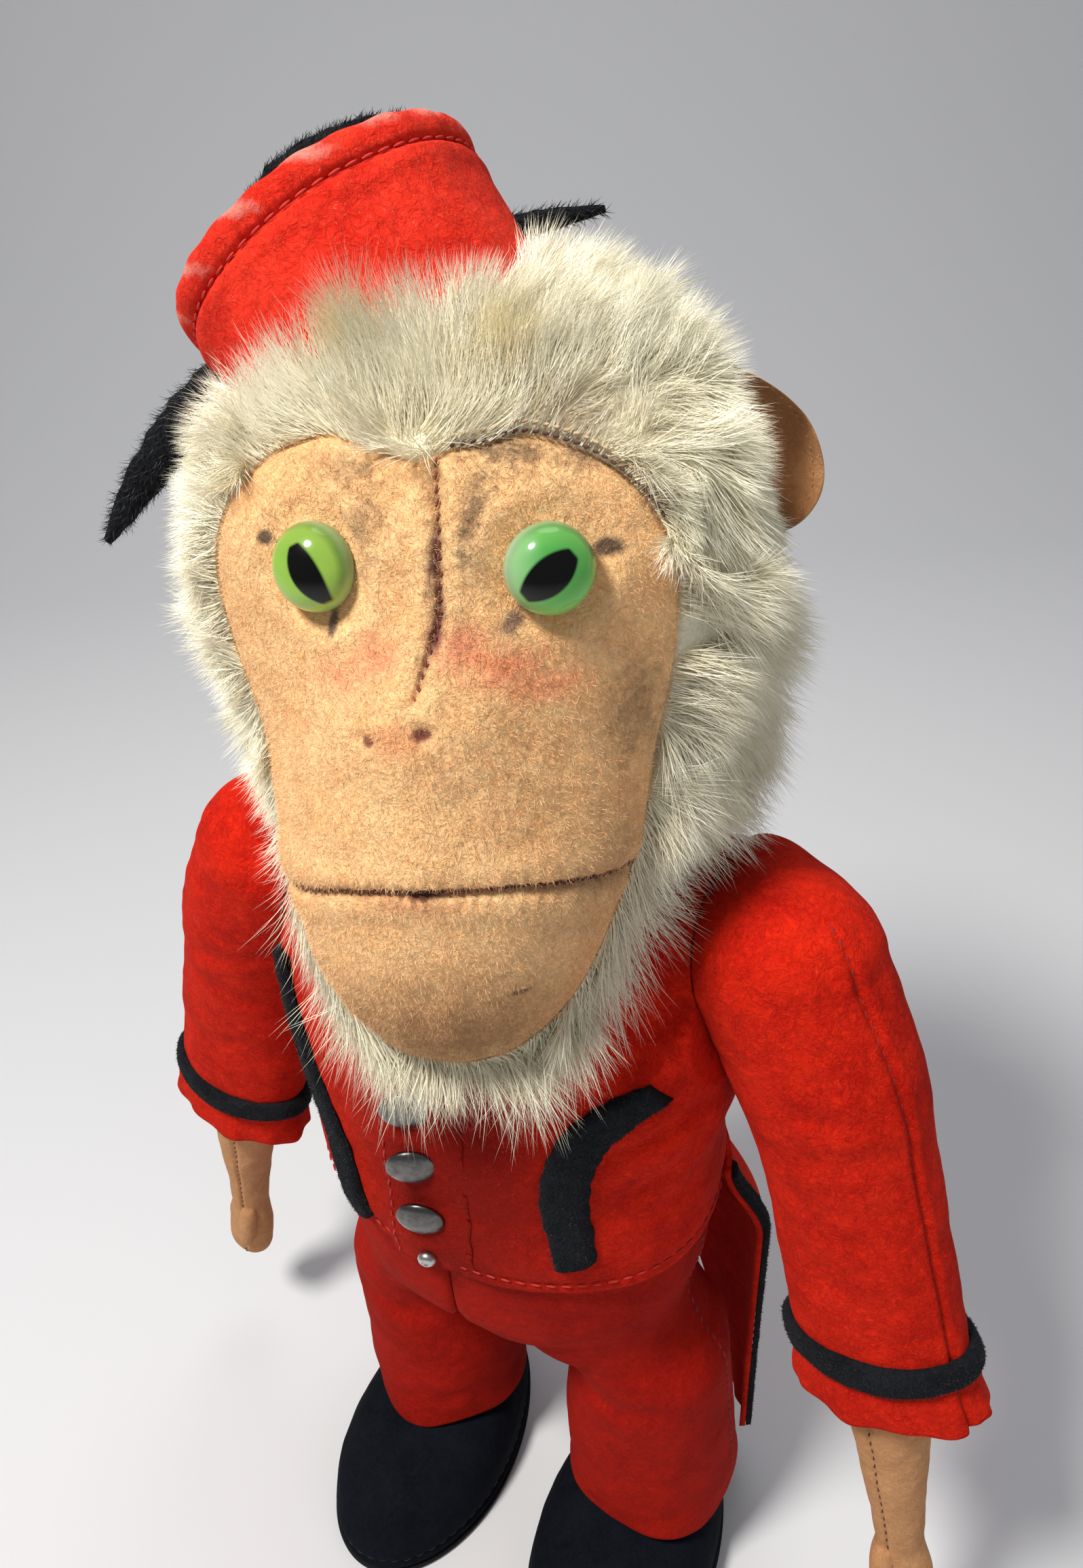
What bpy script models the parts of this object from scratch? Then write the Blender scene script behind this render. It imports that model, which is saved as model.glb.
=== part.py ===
"""A jointed, dressed toy monkey with a mohair ruff, glass eyes and a felt coat.

It stands on the floor, +Z up, and faces -Y; its own left side is at +X. Shapes are worked out
in millimetres and put in the scene in metres. The body, head, arms and legs meet at flat faces,
where a pin holds a pair of board discs, so each limb turns on the pin's axis.
"""

import math

import bmesh
import bpy
import numpy as np
from mathutils import Matrix, Vector

MM = 0.001
GAP = 0.3
FELT = 1.4
JACKET_FELT = 1.5

# Where the body's middle stands, so that the origin is the middle of the whole figure's box
STAND_X = 0.0
STAND_Y = 1.9

# Body
BODY_SIDES = 24
CROTCH_Z = 68.0
NECK_Z = 197.5
BODY_Y = -1.5
TROUSER_TOP_Z = 124.0
WAIST_UNDER_Z = 106.0
WEDGE_HALF = 7.4

# Neck, with the head turned to its own left
NECK_X = 2.4
NECK_Y = -3.3
HEAD_TURN = 18.7
NECK_DISC_R = 12.5

# Shoulders and arms; the left shoulder is sewn a little higher and further back
SHOULDER = {1: (40.0, 2.5, 177.5), -1: (-39.5, -2.5, 173.0)}
SHOULDER_TILT = 14.0
SHOULDER_DISC_R = 7.2
BAND_TOP = 72.0
BAND_HEIGHT = 5.0
ARM_SWING = {1: 6.0, -1: 0.0}

# Hips, legs and shoes
HIP_X = 15.0
HIP_Y = -2.0
HIP_Z = 88.0
HIP_DISC_R = 9.5
HIP_LEDGE = 20.0
PELVIS_R = 17.5
SHOE_X = 25.5
LEG_LEAN = {1: 3.5, -1: 0.0}
LEG_DROP = 66.0
SHOE_HALF = 20.5
SHOE_TOE_Y = -47.5
SHOE_HEEL_Y = 21.0
SOLE_THICK = 1.5

# Joint hardware
DISC_THICK = 2.0
PIN_R = 1.1
PIN_HOLE_R = 1.2
PIN_HEAD_R = 3.4
PIN_HEAD_THICK = 1.2

# Head, in its own frame: x across, y from the neck's axis, z above the floor
HEAD_CENTRE = (0.0, -2.0, 234.0)
FACE_FELT = 1.5
SEAT_GAP = 0.4
HEAD_BLOBS = (
    ((0, 8.5, 243), (41, 37.5, 39.5)),
    ((0, -9, 217), (27, 28, 31)),
    ((-1.2, -23, 206), (22, 20.5, 31)),
    ((0, -25, 234), (11, 11, 12)),
    ((0, -8, 254), (28, 15, 14)),
    ((0, 12, 214), (41, 32, 27)),
)
BLEND_SHARPNESS = 0.32
EYE_X = {1: 15.6, -1: 13.2}
EYE_Z = 255.4
EYE_R = 5.5
EYE_DEPTH = 5.2
MOUTH_Z = 218.3
MOUTH_DROP = 8.0
MOUTH_HALF = 25.0
CHIN_DROP = 14.0

# The felt face's edge, as turn and lift from the head's centre, down its left side
FACE_EDGE = (
    (0, 58), (14, 60), (32, 60), (48, 55), (57, 47), (61, 37), (62, 26), (60, 12),
    (58, -2), (54, -17), (48, -30), (40, -41), (28, -50), (14, -55), (0, -57),
)
FACE_MIDDLE = (0.0, 2.0)
FACE_RINGS = 6
HOOD_MIDDLE = (180.0, 12.0)
HOOD_RINGS = 8

# Ears: cupped felt ovals that stand out from the hood, open towards the front; the right one
# sits lower, under the hat
EAR_HALF_HEIGHT = 13.0
EAR_REACH = 9.5
EAR_CUP = 4.0
EAR_FELT = 1.5
EAR_TURN = 118.0
EAR_LIFT = {1: 26.5, -1: 17.0}

# Hat, in the head's frame
HAT_RIM = (-21.4, 17.5, 285.1)
HAT_AXIS = (-0.570, 0.330, 0.752)
HAT_RIM_R = 23.4
HAT_BASE_R = 22.2
HAT_HEIGHT = 24.0

# The bow's knot and its pieces, in the head's frame: start, end, widest half width
BOW_KNOT = (-40.0, 40.0, 270.0)
BOW_PIECES = {
    "bow_loop": ((-44.0, 38.5, 280.0), (-13.0, 40.5, 297.0), 4.6),
    "bow_tail_right": ((-45.0, 41.5, 265.5), (-83.0, 44.0, 228.0), 3.4),
    "bow_tail_left": ((-34.5, 43.5, 271.5), (15.0, 45.5, 283.5), 2.3),
}

# Buttons: heights above the floor, from the collar down; the lowest is a bare stud
BUTTON_X = -2.0
BUTTON_HEIGHTS = {"button_top": 158.0, "button_middle": 145.4, "button_lower": 132.0}
STUD_Z = 121.0
BUTTON_R = 4.3

# Coat tails
TAIL_TOP = 122.0
TAIL_BOTTOM = 18.0
TAIL_FELT = 1.3

# Outlines of the soft forms, from end to end. Each row: place, then sizes.
# Body: height, half width, half depth, middle x, middle y
BODY_ROWS = (
    (68, 8, 8, 0, -2),
    (72, 17, 15, 0, -2),
    (80, 26, 21, 0, -2),
    (90, 33, 25.5, 0, -1.7),
    (104, 37.3, 27.6, 0, -1.5),
    (118, 37.7, 27.8, 0, -1.5),
    (130, 39, 28.9, 0, -1.5),
    (145, 39.8, 29, 0, -1.5),
    (158, 41.8, 27.8, 0, -1.5),
    (170, 44, 24.5, 0, -1.3),
    (177, 45, 22.2, 0, -1.0),
    (182, 44.6, 21.8, 0, 0.6),
    (186, 42.5, 20, 0.2, 0.7),
    (190, 35, 17, 0.8, -0.4),
    (193.5, 20, 15, 2.0, -2.8),
    (197.5, 14.6, 14.4, 2.4, -3.3),
)
# Sleeve: distance down the arm, half width, half depth, middle across, middle in depth
SLEEVE_ROWS = (
    (-2, 16.8, 15.2, 9.6, 1.4),
    (16, 16.4, 14, 14.2, 1),
    (34, 15, 11.8, 16.4, 0.4),
    (60, 15.4, 10, 17.3, 0),
    (87, 17, 9.8, 18, 0),
)
SLEEVE_CAP = 15.0
ARM_ROWS = (
    (-2, 14.4, 11.4, 9.6, 0),
    (16, 14.0, 10.6, 14.2, 0),
    (34, 11.4, 9.2, 16.4, 0),
    (52, 9.6, 8.2, 17.2, 0),
    (70, 8.8, 7.9, 17.6, 0),
    (87, 8.2, 7.6, 17.6, 0),
    (102, 7.0, 6.7, 17.0, 0),
    (118, 5.4, 5.4, 16.2, 0),
    (129, 4.7, 4.7, 15.6, 0),
    (138, 6.2, 4.6, 15.0, -0.4),
    (146, 6.2, 4.3, 14.6, -0.8),
)
ARM_CAP = 12.6
HAND_CAP = 7.5
# Trouser leg: distance below the hip, half width, half depth, middle across, middle in depth
TROUSER_ROWS = (
    (0, 16.8, 16.6, 11.8, 0),
    (12, 17, 17.2, 12.2, 0),
    (18.5, 16.4, 17.6, 13.6, 0),
    (27, 17.4, 18, 12.8, 0),
    (45, 19.2, 18.5, 11.4, 0),
    (66, 18.8, 19, 11.4, 0),
)
TROUSER_CAP = 16.6
# Shoe: height, half width, toe y, heel y
SHOE_ROWS = (
    (1.8, 19.8, -46.8, 20.4),
    (5, 20.5, -47.5, 21),
    (10, 20.2, -45, 21),
    (15, 18.6, -37.5, 20.2),
    (19, 16.6, -27, 18.4),
    (22, 15.2, -18.2, 15.2),
    (27, 14.6, -16, 13.4),
)

COLOURS = {
    "felt_red": (0.62, 0.035, 0.018, 1.0, 0.95, 0.0),
    "trouser_red": (0.46, 0.022, 0.016, 1.0, 0.95, 0.0),
    "felt_black": (0.012, 0.014, 0.018, 1.0, 0.95, 0.0),
    "shoe_black": (0.010, 0.012, 0.020, 1.0, 0.9, 0.0),
    "felt_tan": (0.72, 0.38, 0.17, 1.0, 0.95, 0.0),
    "mohair": (0.66, 0.62, 0.50, 1.0, 0.8, 0.0),
    "stuffing": (0.55, 0.42, 0.22, 1.0, 1.0, 0.0),
    "board": (0.30, 0.20, 0.11, 1.0, 0.85, 0.0),
    "steel": (0.45, 0.44, 0.43, 1.0, 0.4, 1.0),
    "gunmetal": (0.22, 0.21, 0.20, 1.0, 0.35, 1.0),
    "glass_green": (0.18, 0.50, 0.10, 1.0, 0.08, 0.0),
}


def clear_scene():
    for obj in list(bpy.data.objects):
        bpy.data.objects.remove(obj, do_unlink=True)


def material(name, look):
    red, green, blue, alpha, roughness, metallic = COLOURS[look]
    made = bpy.data.materials.new(name)
    made.use_nodes = True
    shader = made.node_tree.nodes["Principled BSDF"]
    shader.inputs["Base Color"].default_value = (red, green, blue, alpha)
    shader.inputs["Roughness"].default_value = roughness
    shader.inputs["Metallic"].default_value = metallic
    return made


def empty(name, parent=None, place=(0, 0, 0), turn=None):
    """A frame that pieces hang from, placed in its parent's frame in millimetres."""
    made = bpy.data.objects.new(name, None)
    bpy.context.scene.collection.objects.link(made)
    made.parent = parent
    made.matrix_local = Matrix.Translation(Vector(place) * MM) @ (turn or Matrix.Identity(4))
    return made


def piece(name, verts, faces, look, parent, side=1):
    """One closed body from points in millimetres; side -1 mirrors it across x = 0."""
    points = np.array(verts, float) * (side, 1, 1) * MM
    mesh = bpy.data.meshes.new(name)
    mesh.from_pydata(points.tolist(), [], [list(face) for face in faces])
    work = bmesh.new()
    work.from_mesh(mesh)
    bmesh.ops.recalc_face_normals(work, faces=work.faces)
    work.to_mesh(mesh)
    work.free()
    made = bpy.data.objects.new(name, mesh)
    bpy.context.scene.collection.objects.link(made)
    made.parent = parent
    if look is None:
        made.hide_render = True
        made.display_type = "WIRE"
    else:
        mesh.materials.append(material(name, look))
        mesh.shade_smooth()
        mesh.set_sharp_from_angle(angle=math.radians(40))
    return made


def cut(target, cutter, operation="DIFFERENCE"):
    step = target.modifiers.new("cut", "BOOLEAN")
    step.operation = operation
    step.solver = "EXACT"
    step.object = cutter


def curve_through(rows, places):
    """Smooth values between the rows of a table, without overshooting them."""
    table = np.array(rows, float)
    at = table[:, 0]
    values = table[:, 1:]
    steps = np.diff(values, axis=0) / np.diff(at)[:, None]
    slopes = np.zeros_like(values)
    same_way = steps[:-1] * steps[1:] > 0
    total = np.where(same_way, steps[:-1] + steps[1:], 1.0)
    slopes[1:-1] = np.where(same_way, 2 * steps[:-1] * steps[1:] / total, 0.0)
    slopes[0] = steps[0]
    slopes[-1] = steps[-1]
    out = []
    for place in places:
        k = int(np.clip(np.searchsorted(at, place) - 1, 0, len(at) - 2))
        span = at[k + 1] - at[k]
        t = np.clip((place - at[k]) / span, 0, 1)
        start = (2 * t**3 - 3 * t**2 + 1) * values[k] + (t**3 - 2 * t**2 + t) * span * slopes[k]
        end = (3 * t**2 - 2 * t**3) * values[k + 1] + (t**3 - t**2) * span * slopes[k + 1]
        out.append(start + end)
    return np.array(out)


def oval(half_x, half_y, mid_x, mid_y, height, sides, power=2.0, start=0.0):
    turn = start + np.linspace(0, 2 * math.pi, sides, endpoint=False)
    across = np.sign(np.cos(turn)) * np.abs(np.cos(turn)) ** (2 / power)
    deep = np.sign(np.sin(turn)) * np.abs(np.sin(turn)) ** (2 / power)
    level = np.full(sides, float(height))
    return np.stack([mid_x + half_x * across, mid_y + half_y * deep, level], axis=1)


def loft(rings, start="flat", end="flat"):
    """Points and faces of a closed body through the rings; an end is flat or a point."""
    count = len(rings[0])
    verts = [tuple(point) for ring in rings for point in ring]
    faces = []
    for k in range(len(rings) - 1):
        for i in range(count):
            j = (i + 1) % count
            low = k * count
            high = low + count
            faces.append((low + i, low + j, high + j, high + i))
    last = (len(rings) - 1) * count
    for style, first in ((start, 0), (end, last)):
        ring = [first + i for i in range(count)]
        if style == "flat":
            faces.append(ring)
        else:
            pole = len(verts)
            verts.append(tuple(style))
            for i in range(count):
                faces.append((ring[i], ring[(i + 1) % count], pole))
    return verts, faces


def tube(outer, inner):
    """A closed wall between outer rings and inner rings, open at both ends."""
    return loft_closed(list(outer) + list(inner)[::-1])


def loft_closed(rings):
    """Rings joined one after another, and the last to the first."""
    count = len(rings[0])
    verts = [tuple(point) for ring in rings for point in ring]
    faces = []
    for k in range(len(rings)):
        low = k * count
        high = ((k + 1) % len(rings)) * count
        for i in range(count):
            j = (i + 1) % count
            faces.append((low + i, low + j, high + j, high + i))
    return verts, faces


def sheet(outer, inner):
    """A closed solid between two grids of points, outer[row][column] and inner."""
    rows = len(outer)
    columns = len(outer[0])
    verts = [tuple(p) for row in outer for p in row] + [tuple(p) for row in inner for p in row]
    under = rows * columns
    faces = []
    for r in range(rows - 1):
        for c in range(columns - 1):
            a = r * columns + c
            quad = (a, a + 1, a + columns + 1, a + columns)
            faces.append(quad)
            faces.append(tuple(under + v for v in reversed(quad)))
    rim = [(0, c) for c in range(columns - 1)]
    rim += [(r, columns - 1) for r in range(rows - 1)]
    rim += [(rows - 1, c) for c in range(columns - 1, 0, -1)]
    rim += [(r, 0) for r in range(rows - 1, 0, -1)]
    edge = [r * columns + c for r, c in rim]
    for a, b in zip(edge, edge[1:] + edge[:1]):
        faces.append((a, b, b + under, a + under))
    return verts, faces


def turned(profile, sides):
    """A body turned about z from (radius, height) points that start and end on the axis."""
    rings = [oval(radius, radius, 0, 0, height, sides) for radius, height in profile[1:-1]]
    first = (0, 0, profile[0][1])
    last = (0, 0, profile[-1][1])
    return loft(rings, first, last)


def box(low, high):
    corners = [(x, y, z) for z in (low[2], high[2]) for x, y in (
        (low[0], low[1]), (high[0], low[1]), (high[0], high[1]), (low[0], high[1]))]
    faces = [(0, 3, 2, 1), (4, 5, 6, 7), (0, 1, 5, 4), (1, 2, 6, 5), (2, 3, 7, 6), (3, 0, 4, 7)]
    return corners, faces


def limb_rings(rows, inset, sides, count, cap_top=0.0, cap_end=0.0, power=2.0):
    """Rings down a limb, with round caps; inset draws the whole surface in.

    Returns the rings, then the end points of the caps. Heights are negative, down the limb.
    """
    first = rows[0][0]
    last = rows[-1][0]
    rings = []

    def ring(place, at, scale):
        half_x, half_y, mid_x, mid_y = curve_through(rows, [at])[0]
        width = (half_x - inset) * scale
        depth = (half_y - inset) * scale
        return oval(width, depth, mid_x, mid_y, -place, sides, power)

    steps = 4
    if cap_top:
        for k in range(1, steps):
            angle = 0.5 * math.pi * k / steps
            rings.append(ring(first - (cap_top - inset) * math.cos(angle), first, math.sin(angle)))
    for place in np.linspace(first, last, count):
        rings.append(ring(place, place, 1.0))
    if cap_end:
        for k in range(steps - 1, 0, -1):
            angle = 0.5 * math.pi * k / steps
            rings.append(ring(last + (cap_end - inset) * math.cos(angle), last, math.sin(angle)))
    top_mid = curve_through(rows, [first])[0]
    end_mid = curve_through(rows, [last])[0]
    top = (top_mid[2], top_mid[3], -(first - cap_top + inset))
    end = (end_mid[2], end_mid[3], -(last + cap_end - inset))
    return rings, top, end


# Joint hardware. The joint's own frame has its z along the axis, from the body into the limb,
# and z = 0 is half way between their faces.


def disc_pocket(name, parent, turn, side_sign, radius, skin):
    """Cutter for the room that one side's disc and pin head take behind the face."""
    deep = GAP + skin + DISC_THICK + GAP
    profile = [
        (0, -1.0),
        (radius + GAP, -1.0),
        (radius + GAP, deep),
        (PIN_HEAD_R + 0.6, deep),
        (PIN_HEAD_R + 0.6, deep + PIN_HEAD_THICK + 2 * GAP),
        (0, deep + PIN_HEAD_THICK + 2 * GAP),
    ]
    if skin:
        profile[0] = (0, skin + GAP - 0.5)
        profile[1] = (radius + GAP, skin + GAP - 0.5)
    verts, faces = turned([(r, side_sign * z) for r, z in profile], 16)
    made = piece(name, verts, faces, None, parent)
    made.matrix_local = turn
    return made


def joint_disc(name, parent, turn, side_sign, radius, skin):
    """A board disc with the pin's hole."""
    low = GAP + skin
    high = low + DISC_THICK
    section = ((radius, low), (radius, high), (PIN_HOLE_R, high), (PIN_HOLE_R, low))
    rings = [oval(r, r, 0, 0, side_sign * z, 16) for r, z in section]
    verts, faces = loft_closed(rings)
    made = piece(name, verts, faces, "board", parent)
    made.matrix_local = turn
    return made


def joint_pin(name, parent, turn, skin):
    """A headed pin through both discs, riveted over behind each."""
    inner = GAP + skin + DISC_THICK + GAP
    outer = inner + PIN_HEAD_THICK
    half = [(PIN_R, inner), (PIN_HEAD_R, inner), (0.7 * PIN_HEAD_R, outer), (0, outer)]
    profile = [(r, -z) for r, z in reversed(half)] + half
    verts, faces = turned(profile, 12)
    made = piece(name, verts, faces, "steel", parent)
    made.matrix_local = turn
    return made


# Body


# Levels that the stuffing, the trousers and the jacket share, so that their walls stay apart
HIP_LEVELS = (68, 76, 87, 101, 117)
CHEST_LEVELS = (124, 136, 150, 162, 171, 177.5, 182.5, 186.5, 190, 192)
NECK_LEVELS = (193.5, 197.5)


def body_rings(heights, inset):
    rows = curve_through(BODY_ROWS, heights)
    return [
        oval(half_x - inset, half_y - inset, mid_x, mid_y, height, BODY_SIDES, 2.15)
        for height, (half_x, half_y, mid_x, mid_y) in zip(heights, rows)
    ]


def hip_cutters(body, name, inset):
    """What the swinging legs need: all but the waist, the pelvis drum and a middle wedge."""
    made = []
    under = WAIST_UNDER_Z + inset
    for side in (1, -1):
        verts, faces = box((14.7 - inset, -60, 40), (80, 60, under))
        made.append(piece(f"{name}_side_{side}", verts, faces, None, body, side))
        radius = PELVIS_R - inset
        profile = oval(radius, radius, HIP_Y, HIP_Z, 0, 20)
        hole = [np.stack([np.full(20, x), profile[:, 0], profile[:, 1]], axis=1) for x in (5, 16)]
        frame = [(x, y, z) for x in (5, 16) for y, z in ((-60, 40), (60, 40), (60, under), (-60, under))]
        square_faces = [(0, 1, 2, 3), (7, 6, 5, 4), (0, 4, 5, 1)]
        square_faces += [(1, 5, 6, 2), (2, 6, 7, 3), (3, 7, 4, 0)]
        slab = [(max(x, WEDGE_HALF - inset) if x == 5 else x, y, z) for x, y, z in frame]
        block = piece(f"{name}_bay_{side}", slab, square_faces, None, body, side)
        drum_verts, drum_faces = loft(hole)
        drum = piece(f"{name}_drum_{side}", drum_verts, drum_faces, None, body, side)
        cut(block, drum)
        made.append(block)
    return made


def shoulder_cutter(body, name, side, offset):
    """Everything outside the shoulder's joint plane, offset millimetres in from it."""
    verts, faces = box((-offset, -60, -90), (80, 60, 60))
    made = piece(name, verts, faces, None, body, side)
    made.matrix_local = shoulder_frame(side)
    return made


def shoulder_frame(side):
    tilt = Matrix.Rotation(math.radians(-SHOULDER_TILT * side), 4, "Y")
    return Matrix.Translation(Vector(SHOULDER[side]) * MM) @ tilt


def make_body(body):
    heights = HIP_LEVELS + CHEST_LEVELS + NECK_LEVELS
    verts, faces = loft(body_rings(heights, 0), (0, -2, CROTCH_Z - 1.5))
    stuffing = piece("torso_stuffing", verts, faces, "stuffing", body)
    for cutter in hip_cutters(body, "stuffing_hip", FELT + GAP):
        cut(stuffing, cutter)

    seat_heights = HIP_LEVELS + (TROUSER_TOP_Z,)
    outside = FELT + GAP
    verts, faces = loft(body_rings(seat_heights, -outside), (0, -2, CROTCH_Z - 1.5 - outside))
    seat = piece("trousers_seat", verts, faces, "trouser_red", body)
    for cutter in hip_cutters(body, "seat_hip", 0):
        cut(seat, cutter)
    room_rings = body_rings(seat_heights, -GAP)
    room_rings.append(room_rings[-1] + np.array([0, 0, 4.0]))
    verts, faces = loft(room_rings, (0, -2, CROTCH_Z - 1.5 - GAP))
    room = piece("seat_room", verts, faces, None, body)
    for cutter in hip_cutters(body, "room_hip", FELT):
        cut(room, cutter)
    cut(seat, room)

    verts, faces = tube(*jacket_walls())
    jacket = piece("jacket", verts, faces, "felt_red", body)
    for side, word in ((1, "left"), (-1, "right")):
        cut(stuffing, shoulder_cutter(body, f"stuffing_shoulder_{word}", side, GAP))
        cut(jacket, shoulder_cutter(body, f"armhole_{word}", side, GAP / 2))
    return stuffing, seat


def jacket_offset(height):
    """How far the jacket's inner side stands off the stuffing: it clears the trousers' top."""
    over_trousers = 2 * GAP + FELT
    blend = np.clip((height - TROUSER_TOP_Z) / 12.0, 0, 1)
    return over_trousers + (GAP - over_trousers) * blend


def jacket_walls():
    heights = HIP_LEVELS[-1:] + CHEST_LEVELS
    outer = [body_rings([z], -(jacket_offset(z) + JACKET_FELT))[0] for z in heights]
    inner = [body_rings([z], -jacket_offset(z))[0] for z in heights]
    return outer, inner


def on_jacket(x, z, beyond):
    """A point on the jacket's front, beyond millimetres out from its felt."""
    half_x, half_y, mid_x, mid_y = curve_through(BODY_ROWS, [z])[0]
    out = jacket_offset(z) + JACKET_FELT + beyond
    share = min(0.995, abs(x - mid_x) / (half_x + out))
    return np.array([x, mid_y - (half_y + out) * (1 - share**2.15) ** (1 / 2.15), z])


def strip(name, path, width, thick, look, body, side=1):
    """A felt strip laid on the jacket's front along (x, z) points."""
    rows = [(k, x, z) for k, (x, z) in enumerate(path)]
    points = curve_through(rows, np.linspace(0, len(path) - 1, 10))
    along = np.gradient(points, axis=0)
    along /= np.linalg.norm(along, axis=1)[:, None]
    across = np.stack([along[:, 1], -along[:, 0]], axis=1)
    layers = []
    for beyond in (GAP + thick, GAP):
        grid = []
        for k, (point, way) in enumerate(zip(points, across)):
            end = min(k, len(points) - 1 - k)
            half = 0.5 * width * (0.72 if end == 0 else 1.0)
            grid.append([on_jacket(*(point + way * half * t), beyond) for t in (-1, 0, 1)])
        layers.append(grid)
    verts, faces = sheet(*layers)
    return piece(name, verts, faces, look, body, side)


def make_front(body):
    lap_path = [(-0.8, 183.0), (-0.8, 150.0), (-0.8, 117.8)]
    strip("jacket_lap", lap_path, 17.6, 1.1, "felt_red", body)
    left_path = [(37.5, 166.0), (31.5, 162.5), (26.5, 155.0), (24.5, 143.0), (26.0, 128.5)]
    right_path = [(38.0, 167.0), (33.0, 159.0), (28.0, 148.0), (22.5, 135.0), (17.5, 122.0)]
    strip("trim_left", left_path, 7.4, 1.2, "felt_black", body)
    strip("trim_right", right_path, 7.4, 1.2, "felt_black", body, -1)
    for name, height in BUTTON_HEIGHTS.items():
        cap = [(0, 0), (3.6, 0), (BUTTON_R, 0.6), (3.4, 1.5), (1.8, 1.95), (0, 2.1)]
        fasten(name, cap, "gunmetal", height, body)
    fasten("button_stud", [(0, 0), (1.6, 0), (1.6, 0.9), (1.1, 1.5), (0, 1.7)], "steel", STUD_Z, body)


def fasten(name, profile, look, height, body):
    """A turned cap that sits on the lap, its back square to the surface there."""
    lap_out = GAP + 1.1 + GAP + 0.15
    seat = on_jacket(BUTTON_X, height, lap_out)
    slope = on_jacket(BUTTON_X, height + 2, lap_out) - on_jacket(BUTTON_X, height - 2, lap_out)
    side_way = on_jacket(BUTTON_X + 2, height, lap_out) - on_jacket(BUTTON_X - 2, height, lap_out)
    out = Vector(np.cross(side_way, slope)).normalized()
    verts, faces = turned(profile, 16)
    made = piece(name, verts, faces, look, body)
    turn = out.to_track_quat("Z", "Y").to_matrix().to_4x4()
    made.matrix_local = Matrix.Translation(Vector(seat) * MM) @ turn


# Coat tails: sheets that hang from the jacket's back hem and wrap beside the legs


def tail_point(height, share, beyond):
    """A point of the tail: share 0 is by the back's middle, 1 is the outer edge."""
    top = curve_through(BODY_ROWS, [max(height, 112.0)])[0]
    out = jacket_offset(TAIL_TOP) + JACKET_FELT + GAP
    drop = np.clip((TAIL_TOP - height) / 26.0, 0, 1)
    ease = drop * drop * (3 - 2 * drop)
    half_x = top[0] + out + (47.5 - top[0] - out) * ease + beyond
    half_y = top[1] + out + (33.5 - top[1] - out) * ease + beyond
    power = 2.15 + 0.95 * ease
    fall = np.clip((TAIL_TOP - height) / (TAIL_TOP - TAIL_BOTTOM), 0, 1)
    inner_edge = math.radians(86 - 44 * fall**1.6)
    outer_edge = math.radians(14 + 5 * fall)
    turn = inner_edge + (outer_edge - inner_edge) * share
    x = half_x * math.cos(turn) ** (2 / power)
    y = BODY_Y + half_y * math.sin(turn) ** (2 / power)
    return (x, y, height)


def make_tails(body):
    heights = np.concatenate([np.linspace(TAIL_TOP, 96, 5), np.linspace(84, TAIL_BOTTOM, 5)])
    shares = np.linspace(0, 1, 8)
    edge_shares = np.linspace(0.91, 0.995, 3)
    for side, word in ((1, "left"), (-1, "right")):
        outer = [[tail_point(z, s, TAIL_FELT) for s in shares] for z in heights]
        inner = [[tail_point(z, s, 0) for s in shares] for z in heights]
        verts, faces = sheet(outer, inner)
        piece(f"coat_tail_{word}", verts, faces, "felt_red", body, side)
        edging_heights = heights[1:-1]
        base = TAIL_FELT + GAP
        outer = [[tail_point(z, s, base + 1.0) for s in edge_shares] for z in edging_heights]
        inner = [[tail_point(z, s, base) for s in edge_shares] for z in edging_heights]
        verts, faces = sheet(outer, inner)
        piece(f"tail_edging_{word}", verts, faces, "felt_black", body, side)


# Arms: the frame's x runs out along the joint's axis, y is back and z is up the arm


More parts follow.
